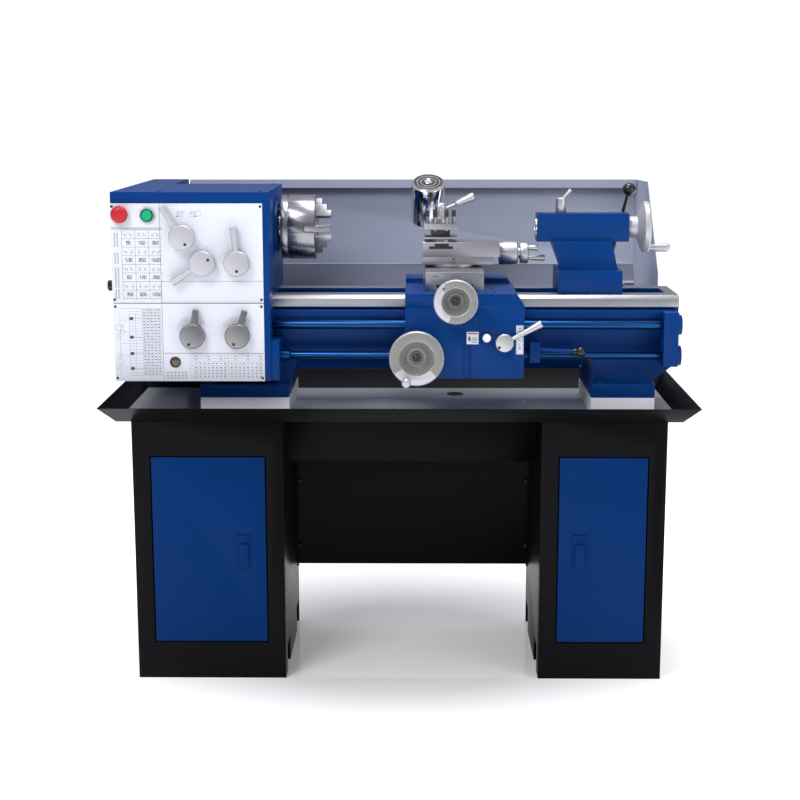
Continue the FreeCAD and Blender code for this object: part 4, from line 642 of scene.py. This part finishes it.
class LATHE_OT_front_plates(LatheOperator, bpy.types.Operator):
    """Print the front plates and fit their screws and the oil sight"""
    bl_idname = "lathe.front_plates"
    bl_label = "Front plates"

    def make(self, paints, sizes):
        made("speed_table", "frame", "print_grey", draw_speed_table, smooth=False)
        made("lever_marks", "frame", "print_grey", draw_lever_marks, smooth=False)
        made("plate_borders", "frame", "print_grey", draw_borders, smooth=False)
        made("feed_marks", "frame", "print_grey", draw_feed_marks, smooth=False)
        made("thread_chart", "frame", "print_grey", draw_thread_chart, smooth=False)
        made("plate_screws", "frame", "print_black", draw_plate_screws)
        sight = (-487.6, FRONT + 0.1, 720.2)
        made("oil_sight_rim", "frame", "dark_steel", lambda bm: add_turning(
            bm, sight, (0, -1, 0), [(0, 8.4), (0, 11.8), (2.4, 11.8), (3.4, 10.8), (3.4, 9), (1.2, 8.4)],
            closed=True))
        made("oil_sight_ring", "frame", "satin_chrome", lambda bm: add_turning(
            bm, sight, (0, -1, 0), [(0.8, 4.6), (0.8, 6.2), (1.3, 6.2), (1.3, 4.6)], closed=True))
        made("oil_sight_glass", "frame", "sight_glass", lambda bm: add_turning(
            bm, sight, (0, -1, 0), [(0, 0), (0, 8.5), (1, 8.5), (1.5, 5), (1.7, 0)]))


# ---------------------------------------------------------------- headstock controls

SPEED_KNOBS = ((-465.4, 992.0, -31), (-422.5, 936.4, -122), (-348.8, 936.5, -4))
FEED_KNOBS = ((-447.9, 779.0, (-8.3, -20)), (-350.1, 779.0, (-8.9, -19.4)))


class LATHE_OT_controls(LatheOperator, bpy.types.Operator):
    """Make the stop and start buttons and dress the headstock's knobs"""
    bl_idname = "lathe.controls"
    bl_label = "Headstock controls"

    def make(self, paints, sizes):
        stop, start = (-598, FRONT, 1041), (-539.6, FRONT, 1039)
        made("stop_mushroom", "stop_button", "stop_red", lambda bm: add_turning(
            bm, stop, (0, -1, 0), [(4.6, 0), (4.6, 8), (4.5, 15.5), (6.2, 17.4), (9, 18.5), (12.5, 18.5)]
            + smooth_run([(15.5, 17.6), (18.4, 14.4), (20.2, 9.5), (20.9, 4.5), (21, 0)])),
            replaced=("stop_button",))
        made("stop_shank", "stop_button", "print_black", lambda bm: add_rod(
            bm, (-598, FRONT, 1041), (-598, FRONT - 4.8, 1041), 7.9))
        made("start_cap", "start_button", "start_green", lambda bm: add_turning(
            bm, start, (0, -1, 0), [(0, 0), (0, 10.9), (7.6, 10.9), (8.5, 10.2), (8.8, 9.2), (8.2, 8.4),
                                    (8.2, 0)]), replaced=("start_button",))
        made("start_bezel", "frame", "bezel_green", lambda bm: add_turning(
            bm, start, (0, -1, 0), [(0, 11.2), (0, 15.8), (4.6, 15.8), (6.4, 14.2), (6.6, 12.2),
                                    (6, 11.2)], closed=True))
        for number, (x, z, lean) in enumerate(SPEED_KNOBS, 1):
            spot = (x - 16 * sin(radians(lean)), FRONT - 21.8, z - 16 * cos(radians(lean)))
            made(f"speed_screw_{number}", f"speed_lever_{number}", "print_black",
                 lambda bm: add_rod(bm, spot, Vector(spot) - Vector((0, 0.5, 0)), 3.3, segments=20))
        for number, (x, z, side) in enumerate(FEED_KNOBS, 1):
            spot = (x + side[0] * 0.85, FRONT - 19.8, z + side[1] * 0.85)
            made(f"feed_screw_{number}", f"feed_lever_{number}", "print_black",
                 lambda bm: add_rod(bm, spot, Vector(spot) - Vector((0, 0.5, 0)), 3.3, segments=20))


# ---------------------------------------------------------------- spindle, bed and shafts

class LATHE_OT_spindle(LatheOperator, bpy.types.Operator):
    """Dress the chuck, the nose bearing cap and the leadscrew's end bracket"""
    bl_idname = "lathe.spindle"
    bl_label = "Chuck and shafts"

    def make(self, paints, sizes):
        # Painted shade: a thin black square on the chuck stands in for the shade inside the key's
        # socket.
        made("chuck_key_socket_shade", "spindle", "print_black", lambda bm: add_box(
            bm, (-233.6, -3.6, 1051.6), (-226.4, 3.6, 1052.6)))

        def chuck_screws(bm):
            for angle in (30, 150, 270):
                aim = Vector((0, sin(radians(angle)), cos(radians(angle))))
                spot = Vector((SPINDLE_NOSE, 0, SPINDLE_LEVEL)) + aim * 56
                add_rod(bm, spot, spot + Vector((0.7, 0, 0)), 4.5)

        def cap_screws(bm):
            for step in range(6):
                aim = Vector((0, sin(tau * (step + 0.5) / 6), cos(tau * (step + 0.5) / 6)))
                spot = Vector((-272.2, 0, SPINDLE_LEVEL)) + aim * 46
                add_turning(bm, spot, (1, 0, 0), [(0, 0), (0, 4.2), (3.6, 4.2), (4, 3.7), (4, 2), (2, 2),
                                                  (2, 0)], steps=20)

        def bracket_screws(bm):
            for x, y, z in ((585, -96, 815), (605, -96, 815), (594, -152, 761), (606, -141, 762)):
                add_turning(bm, (x, y + 0.3, z), (0, -1, 0), [(0, 0), (0, 4.3), (0.8, 4), (0.8, 2),
                                                             (0.2, 2), (0.2, 0)], steps=20)

        made("chuck_face_screws", "spindle", "dark_steel", chuck_screws)
        made("cap_screws", "frame", "dark_steel", cap_screws)
        made("bracket_screws", "frame", "print_black", bracket_screws)
        made("feed_rod_sleeve", "feed_rod", "blued_steel", lambda bm: add_turning(
            bm, (-261, -130, 727), (1, 0, 0), [(0, 8.1), (0, 11.5), (18, 11.5), (19, 10.5), (19, 8.1)],
            closed=True))


# ---------------------------------------------------------------- carriage

def draw_hub_screw(at, aim, radius):
    """A function that draws a handwheel's socket screw on its washer."""
    return lambda bm: add_turning(bm, at, aim, [
        (0, 0), (0, radius), (1, radius), (1, radius * 0.72), (5, radius * 0.72), (5.8, radius * 0.6),
        (5.8, radius * 0.34), (3, radius * 0.3), (3, 0)])


class LATHE_OT_carriage(LatheOperator, bpy.types.Operator):
    """Dress the carriage: handwheel screws, plates, oilers and knobs"""
    bl_idname = "lathe.carriage"
    bl_label = "Carriage fittings"

    def make(self, paints, sizes):
        made("apron_wheel_screw", "apron_handwheel", "dark_steel",
             draw_hub_screw((APRON_WHEEL[0], APRON_FACE - 27.6, APRON_WHEEL[1]), (0, -1, 0), 10.5))
        made("cross_wheel_screw", "cross_handwheel", "dark_steel",
             draw_hub_screw((CROSS_WHEEL[0], APRON_FACE - 35.6, CROSS_WHEEL[1]), (0, -1, 0), 9.2))
        made("selector_label", "carriage", "plate_silver", lambda bm: add_box(
            bm, (146, APRON_FACE - 0.6, 762), (172, APRON_FACE + 0.2, 789)), edge=0.0004)

        def label_marks(bm):
            face = APRON_FACE - 0.6
            add_stroke(bm, (150, 774), (154, 774), 9, face)
            add_stroke(bm, (158, 776), (168, 776), 1.2, face)
            for x in (159, 163.5, 168):
                add_arc(bm, x - 1, 771.5, 2, 0, 360, 0.7, face, 8)
            add_stroke(bm, (157, 766), (169, 766), 1, face)

        def scale_marks(bm):
            face = APRON_FACE - 0.8
            for z, width in ((797, 5), (791, 6), (771, 3), (762, 2), (756, 5), (752, 6)):
                add_stroke(bm, (261 - width / 2, z), (261 + width / 2, z), 1.6, face)
            add_frame(bm, 255, 267, 742, 801, 0.4, face)

        def oilers(bm):
            for x, y, z in ((206, -92, 871), (35, -92, 871), (206, -172, 871)):
                add_turning(bm, (x, y, z - 0.2), (0, 0, 1), [(0, 0), (0, 4.6), (0.9, 4.6), (1.2, 3.6),
                                                           (0.5, 3), (1.2, 0)], steps=24)
            add_turning(bm, (166.5, APRON_FACE + 0.2, 815), (0, -1, 0), [
                (0, 0), (0, 4.6), (0.7, 4.6), (0.9, 3.8), (0.4, 2.8), (0.4, 0)], steps=24)

        made("selector_marks", "carriage", "print_black", label_marks, smooth=False)
        made("selector_heading", "carriage", "print_red", lambda bm: add_stroke(
            bm, (148, 785.5), (170, 785.5), 3, APRON_FACE - 0.6), smooth=False)
        made("halfnut_scale", "carriage", "plate_silver", lambda bm: add_box(
            bm, (253, APRON_FACE - 0.8, 740), (269, APRON_FACE + 0.2, 803)), edge=0.0004)
        made("halfnut_marks", "carriage", "print_black", scale_marks, smooth=False)
        made("carriage_oilers", "carriage", "print_black", oilers)
        made("halfnut_dot", "halfnut_lever", "print_black", lambda bm: add_rod(
            bm, (216, APRON_FACE - 16.8, 757), (216, APRON_FACE - 17.4, 757), 3.4, segments=20))
        made("control_knob_cover", "control_lever", "knob_black", lambda bm: add_turning(
            bm, (397.9, -152, 737.8), (cos(radians(3)), 0, -sin(radians(3))),
            [(-17, 0), (-17, 6.4), (-14.5, 7)] + smooth_run([
                (-9.8, 7.6), (-5, 11.3), (0, 12.4), (5, 11.3), (9.8, 7.6), (12.4, 0)])))


# ---------------------------------------------------------------- compound slide and tool post

def draw_dial(at, aim, radius, count, lengths):
    """A function that draws the graduations round a dial."""
    def draw(bm):
        start, axis = Vector(at), Vector(aim).normalized()
        side = axis.orthogonal().normalized()
        other = axis.cross(side)
        for number in range(count):
            angle = tau * number / count
            out = side * cos(angle) + other * sin(angle)
            reach = lengths[0] if number % 5 else lengths[1]
            add_rod(bm, start + out * radius, start + out * radius + axis * reach, 0.35, segments=4)
    return draw


class LATHE_OT_slides(LatheOperator, bpy.types.Operator):
    """Dress the slides, their dials, the tool post and its lever"""
    bl_idname = "lathe.slides"
    bl_label = "Slides and tool post"

    def make(self, paints, sizes):
        # Painted shade: a thin black T on the top slide's front stands in for the shade inside its tee
        # slot.
        def tee_slot(bm):
            add_box(bm, (66, -45.5, 953.7), (119, -44.8, 959.6))
            add_box(bm, (78, -45.5, 959.5), (110, -44.8, 965.6))

        def slide_marks(bm):
            for x in (116, 119, 122, 125):
                add_stroke(bm, (x, 921.5), (x, 927), 0.7, -45)
            add_stroke(bm, (119, 931), (123, 931), 4, -45)
            add_stroke(bm, (73.5, 903), (86, 903), 1.6, -140)
            for step in range(25):
                angle = radians(-150 + 5 * step)
                spot = Vector((121 + 60.1 * cos(angle), 60.1 * sin(angle), 912.6))
                add_rod(bm, spot, spot + Vector((0, 0, 5.6 if step % 5 == 2 else 3.6)), 0.4, segments=4)

        def gib_screws(bm):
            for y in (-110, -60, 0, 60, 105):
                add_turning(bm, (184.8, y, 890), (1, 0, 0), [(0, 0), (0, 3.4), (2.2, 3.4), (2.2, 0)],
                            steps=16)

        made("tee_slot", "top_slide", "print_black", tee_slot, smooth=False)
        made("slide_marks", "compound_base", "print_black", slide_marks, smooth=False)
        made("gib_screws", "cross_slide", "dark_steel", gib_screws)
        made("compound_dial_marks", "compound_handwheel", "print_black",
             draw_dial((226, 0, 941), (1, 0, 0), 26.05, 50, (6, 10)), smooth=False)
        made("tool_post_lever", "toolpost_lever", "satin_chrome", draw_post_lever,
             replaced=("toolpost_lever",))
        made("tool_post_screws", "toolpost", "dark_steel", draw_post_screws)


def draw_post_lever(bm):
    """The tool post's clamp lever: a turned hub, a thin neck and a swelling grip."""
    add_turning(bm, (POST, 0, 1009.3), (0, 0, 1), [(0, 8.1), (0, 14), (9, 14), (11, 13)]
                + smooth_run([(14, 11.6), (26, 12), (36, 13), (42, 10), (45, 4.5), (45.5, 0)])
                + [(32, 0), (32, 8.1)])
    aim = (cos(radians(23)), 0, sin(radians(23)))
    add_turning(bm, (POST + 8, 0, 1040), aim, [(0, 0)] + smooth_run([
        (0, 3.6), (14, 3.4), (26, 4.2), (29, 6), (34, 7.4), (50, 8.8), (64, 9.8), (71, 9.2),
        (74, 6), (75, 0)]))


def draw_post_screws(bm):
    """Square heads of the tool post's clamp screws."""
    edge, near = 29.5, 29.5 * 0.44
    for x, y in ((edge, near), (edge, -near), (-edge, near), (-edge, -near), (near, edge),
                 (-near, edge), (near, -edge), (-near, -edge)):
        add_box(bm, (POST + x - 4.2, y - 4.2, 1024), (POST + x + 4.2, y + 4.2, 1036.6))


# ---------------------------------------------------------------- tailstock and lamp

class LATHE_OT_tailstock(LatheOperator, bpy.types.Operator):
    """Dress the tailstock: bolts, the handwheel's screw and marks"""
    bl_idname = "lathe.tailstock"
    bl_label = "Tailstock fittings"

    def make(self, paints, sizes):
        def bolts(bm):
            add_rod(bm, (495.5, -20, 876), (529, -20, 876), 5)
            add_hexagon(bm, (500, -20, 876), (1, 0, 0), 15, 7)
            add_rod(bm, (495.5, 20, 868), (506, 20, 868), 4)

        made("tailstock_bolts", "tailstock", "satin_chrome", bolts, edge=0.0004)
        made("offset_marks", "tailstock", "print_black", lambda bm: [add_stroke(
            bm, (425 + step * 2, 864), (425 + step * 2, 868 if step % 5 else 871), 0.5, -75)
            for step in range(-5, 6)], smooth=False)
        made("quill_zero", "quill", "print_black", lambda bm: add_rod(
            bm, (305.6, -18.8, 1006.9), (306.4, -18.8, 1006.9), 0.5, segments=4), smooth=False)
        made("tailstock_wheel_screw", "tailstock_handwheel", "dark_steel",
             draw_hub_screw((541.6, 0, SPINDLE_LEVEL), (1, 0, 0), 10.5))
        made("tailstock_dial_marks", "tailstock_handwheel", "print_black",
             draw_dial((516, 0, SPINDLE_LEVEL), (1, 0, 0), 24.2, 40, (4, 7)), smooth=False)


class LATHE_OT_lamp(LatheOperator, bpy.types.Operator):
    """Dress the lamp: vent rings, switch knob, reflector and bulb"""
    bl_idname = "lathe.lamp"
    bl_label = "Lamp"

    def make(self, paints, sizes):
        aim = Vector((0, -sin(LAMP_LEAN), cos(LAMP_LEAN)))
        cap = LAMP + aim * 50

        def rings(bm):
            for radius in (35.2, 26.5, 17.5):
                add_turning(bm, cap, aim, [(-0.3, radius - 1.3), (1.2, radius - 1), (1.9, radius),
                                           (1.2, radius + 1), (-0.3, radius + 1.3)], closed=True)
            add_turning(bm, cap, aim, [(-0.5, 0), (-0.5, 9)] + smooth_run([(2, 8.6), (5, 5.4), (8, 5),
                                                                       (10, 3.4), (10.6, 0)]))

        # Painted shade: a black disc under the vent rings stands in for the shade inside the cap's
        # vents.
        def recess(bm):
            add_turning(bm, cap, aim, [(-1, 0), (-1, 37), (0.25, 37), (0.25, 0)])

        # Painted shade: black spots round the can stand in for the shade inside its side vents.
        def slots(bm):
            side = Vector((1, 0, 0))
            other = aim.cross(side)
            for number in range(20):
                angle = tau * number / 20
                out = side * cos(angle) + other * sin(angle)
                spot = LAMP + aim * 38 + out * 39.7
                add_rod(bm, spot, spot + out * 0.6, 2.2, segments=12)

        def reflector(bm):
            add_turning(bm, LAMP, aim, [(-46, 36.2), (-20, 33), (10, 22), (24, 9), (24, 7), (8, 20),
                                          (-22, 31.5), (-46, 35)], closed=True)

        made("lamp_vent_rings", "lamp_head", "bright_chrome", rings)
        made("lamp_vent_painted_shade", "lamp_head", "print_black", recess)
        made("lamp_side_vent_shade", "lamp_head", "print_black", slots)
        made("lamp_reflector", "lamp_head", "bright_chrome", reflector)
        made("lamp_bulb", "lamp_head", "lamp_white", lambda bm: add_turning(
            bm, LAMP, aim, [(36, 0), (36, 8), (10, 8)] + smooth_run([
                (2, 13), (-12, 20), (-24, 19), (-31, 11), (-33.5, 0)])))


# ---------------------------------------------------------------- stand, cover and motor

class LATHE_OT_stand(LatheOperator, bpy.types.Operator):
    """Dress the stand: door locks, tray drain and holding bolts"""
    bl_idname = "lathe.stand"
    bl_label = "Stand fittings"

    def make(self, paints, sizes):
        for side, across in (("left", -341), ("right", 400)):
            made(f"{side}_lock", f"{side}_door", "door_blue", lambda bm: add_turning(
                bm, (across, -202.9, 322.5), (0, -1, 0),
                [(0, 0), (0, 5.2), (1.4, 5.2), (1.9, 4.6), (1.9, 1.6), (0.8, 1.6), (0.8, 0)], steps=32))
        made("tray_drain", "frame", "dark_steel", lambda bm: add_turning(
            bm, (130, 120, 592.4), (0, 0, 1),
            [(0, 0), (0, 20), (1.5, 20), (1.9, 18), (1.2, 15), (1.2, 0)]))

        def riser_bolts(bm):
            for left, right in ((-443, -245), (425, 567)):
                for x in (left + 24, right - 24):
                    for y in (-112, 112):
                        add_hexagon(bm, (x, y, 662), (0, 0, 1), 17, 5)
                        add_rod(bm, (x, y, 661.8), (x, y, 663.8), 13)

        made("holding_bolts", "frame", "machine_blue", riser_bolts, edge=0.0005)


class LATHE_OT_drive(LatheOperator, bpy.types.Operator):
    """Dress the motor, the gear cover and the headstock housing's screws"""
    bl_idname = "lathe.drive"
    bl_label = "Motor and gear cover"

    def make(self, paints, sizes):
        def fins(bm):
            for number in range(26):
                angle = tau * number / 26
                out = Vector((0, cos(angle), sin(angle)))
                if abs(angle - 4.71) > 0.5 and not 0.5 < angle < 2.2:
                    spot = Vector((-412, *MOTOR)) + out * 77
                    turn = Matrix.Rotation(angle, 4, "X")
                    bmesh.ops.create_cube(bm, size=1, matrix=Matrix.Translation(spot * MM) @ turn
                                          @ Matrix.Diagonal((0.16, 0.008, 0.0028, 1)))

        def grille(bm):
            for radius in (16, 26, 36, 46, 56):
                add_turning(bm, (-300, *MOTOR), (1, 0, 0), [
                    (-0.4, radius - 2), (1.4, radius - 2), (1.4, radius + 2), (-0.4, radius + 2)],
                    closed=True)

        def louvres(bm):
            for row in range(7):
                z = 910 + row * 16
                add_box(bm, (-621.4, -40, z), (-619.8, 60, z + 7))

        def cover_lock(bm):
            add_turning(bm, (-619.8, -120, 880), (-1, 0, 0), [
                (0, 0), (0, 14), (3, 14), (4, 12), (12, 11), (18, 12.5), (22, 11), (23, 0)])

        def housing_screws(bm):
            for x in (-515, -300):
                for y in (-165, 145):
                    add_turning(bm, (x, y, 1087.8), (0, 0, 1), [
                        (0, 0), (0, 4.5), (1.6, 4.2), (1.6, 2.2), (0.6, 2.2), (0.6, 0)], steps=20)

        made("motor_fins", "frame", "machine_blue", fins, edge=0.0005)
        made("motor_grille", "frame", "print_black", grille)
        made("cover_louvres", "end_cover", "machine_blue", louvres, edge=0.0006)
        made("cover_lock", "end_cover", "knob_black", cover_lock)
        made("housing_screws", "frame", "dark_steel", housing_screws)


def make_studio():
    """A white backdrop for the camera, and a soft sky that is dimmer lower down for the light."""
    world = bpy.data.worlds.new("studio")
    world.use_nodes = True
    tree = world.node_tree
    white = tree.nodes["Background"]
    white.inputs["Color"].default_value = (1, 1, 1, 1)
    sky = tree.nodes.new("ShaderNodeBackground")
    place = tree.nodes.new("ShaderNodeTexCoord")
    parts = tree.nodes.new("ShaderNodeSeparateXYZ")
    ramp = tree.nodes.new("ShaderNodeValToRGB")
    ramp.color_ramp.elements[0].position = 0.0
    ramp.color_ramp.elements[0].color = (0.13, 0.13, 0.15, 1)
    ramp.color_ramp.elements[1].position = 0.8
    ramp.color_ramp.elements[1].color = (0.80, 0.80, 0.83, 1)
    seen = tree.nodes.new("ShaderNodeLightPath")
    mixed = tree.nodes.new("ShaderNodeMixShader")
    join(tree, (place, "Generated", parts, 0), (parts, "Z", ramp, "Fac"), (ramp, "Color", sky, "Color"),
         (seen, "Is Camera Ray", mixed, 0), (sky, 0, mixed, 1), (white, 0, mixed, 2))
    tree.links.new(mixed.outputs[0], tree.nodes["World Output"].inputs["Surface"])
    return world


class LATHE_OT_stage(LatheOperator, bpy.types.Operator):
    """Set the pale floor, the soft studio light and the camera"""
    bl_idname = "lathe.stage"
    bl_label = "Stage"

    def make(self, paints, sizes):
        scene = bpy.context.scene
        scene.view_settings.view_transform = "Standard"
        tree, shader = shaded("stage_white", (0.86, 0.86, 0.87), specular=0.6)
        shader.inputs["Roughness"].default_value = 0.06
        shader.inputs["Emission Strength"].default_value = 0.9
        place = tree.nodes.new("ShaderNodeTexCoord")
        reach = tree.nodes.new("ShaderNodeVectorMath")
        reach.operation = "LENGTH"
        # The floor glows little under the stand, which keeps its shadow, and fully further out.
        glow = tree.nodes.new("ShaderNodeValToRGB")
        glow.color_ramp.elements[0].position = 0.3
        glow.color_ramp.elements[0].color = (0.10, 0.10, 0.10, 1)
        glow.color_ramp.elements[1].position = 1.0
        join(tree, (place, "Object", reach, 0), (reach, "Value", glow, "Fac"),
             (glow, "Color", shader, "Emission Color"))
        bm = bmesh.new()
        bmesh.ops.create_grid(bm, x_segments=1, y_segments=1, size=40)
        mesh = bpy.data.meshes.new("floor")
        bm.to_mesh(mesh)
        bm.free()
        mesh.materials.append(materials["stage_white"])
        floor = bpy.data.objects.new("floor", mesh)
        scene.collection.objects.link(floor)
        scene.world = make_studio()
        for name, at, size, power in (("key", (-1.5, -2.3, 3.2), 1.3, 58),
                                      ("fill", (2.6, -2.4, 1.6), 1.6, 22),
                                      ("top", (0.2, 0.1, 3.3), 1.5, 52)):
            light = bpy.data.lights.new(name, "AREA")
            light.size = size
            light.energy = power
            lamp = bpy.data.objects.new(name, light)
            lamp.location = at
            lamp.rotation_euler = (Vector((0, 0, 0.8)) - Vector(at)).to_track_quat("-Z", "Y").to_euler()
            scene.collection.objects.link(lamp)
        view = bpy.data.cameras.new("view")
        view.lens = 69.44
        view.sensor_width = 36
        camera = bpy.data.objects.new("view", view)
        camera.location = (0.0363, -3.5012, 1.2753)
        camera.rotation_euler = (radians(90 - 10.904), 0.0005, 0.0103)
        scene.collection.objects.link(camera)
        scene.camera = camera


# ---------------------------------------------------------------- panel and run

OPERATORS = (LATHE_OT_materials, LATHE_OT_castings, LATHE_OT_front_plates, LATHE_OT_controls,
             LATHE_OT_spindle, LATHE_OT_carriage, LATHE_OT_slides, LATHE_OT_tailstock, LATHE_OT_lamp,
             LATHE_OT_stand, LATHE_OT_drive, LATHE_OT_stage)


class LATHE_PT_panel(bpy.types.Panel):
    """The lathe's pieces, in the order that they are made"""
    bl_idname = "LATHE_PT_panel"
    bl_label = "Metal Lathe"
    bl_space_type = "VIEW_3D"
    bl_region_type = "UI"
    bl_category = "Lathe"

    def draw(self, context):
        for settings in (context.scene.lathe_colours, context.scene.lathe_sizes):
            for name in settings.__annotations__:
                self.layout.prop(settings, name)
        for operator in OPERATORS:
            self.layout.operator(operator.bl_idname)


CLASSES = (LatheColours, LatheSizes, *OPERATORS, LATHE_PT_panel)


def register():
    """Register the classes and hang the settings on the scene."""
    for cls in CLASSES:
        bpy.utils.register_class(cls)
    bpy.types.Scene.lathe_colours = bpy.props.PointerProperty(type=LatheColours)
    bpy.types.Scene.lathe_sizes = bpy.props.PointerProperty(type=LatheSizes)


def unregister():
    """Take back what register did."""
    del bpy.types.Scene.lathe_colours
    del bpy.types.Scene.lathe_sizes
    for cls in reversed(CLASSES):
        bpy.utils.unregister_class(cls)


def main():
    """Make the lathe and its stage."""
    register()
    for operator in OPERATORS:
        family, verb = operator.bl_idname.split(".")
        getattr(getattr(bpy.ops, family), verb)()


if __name__ == "__main__":
    main()
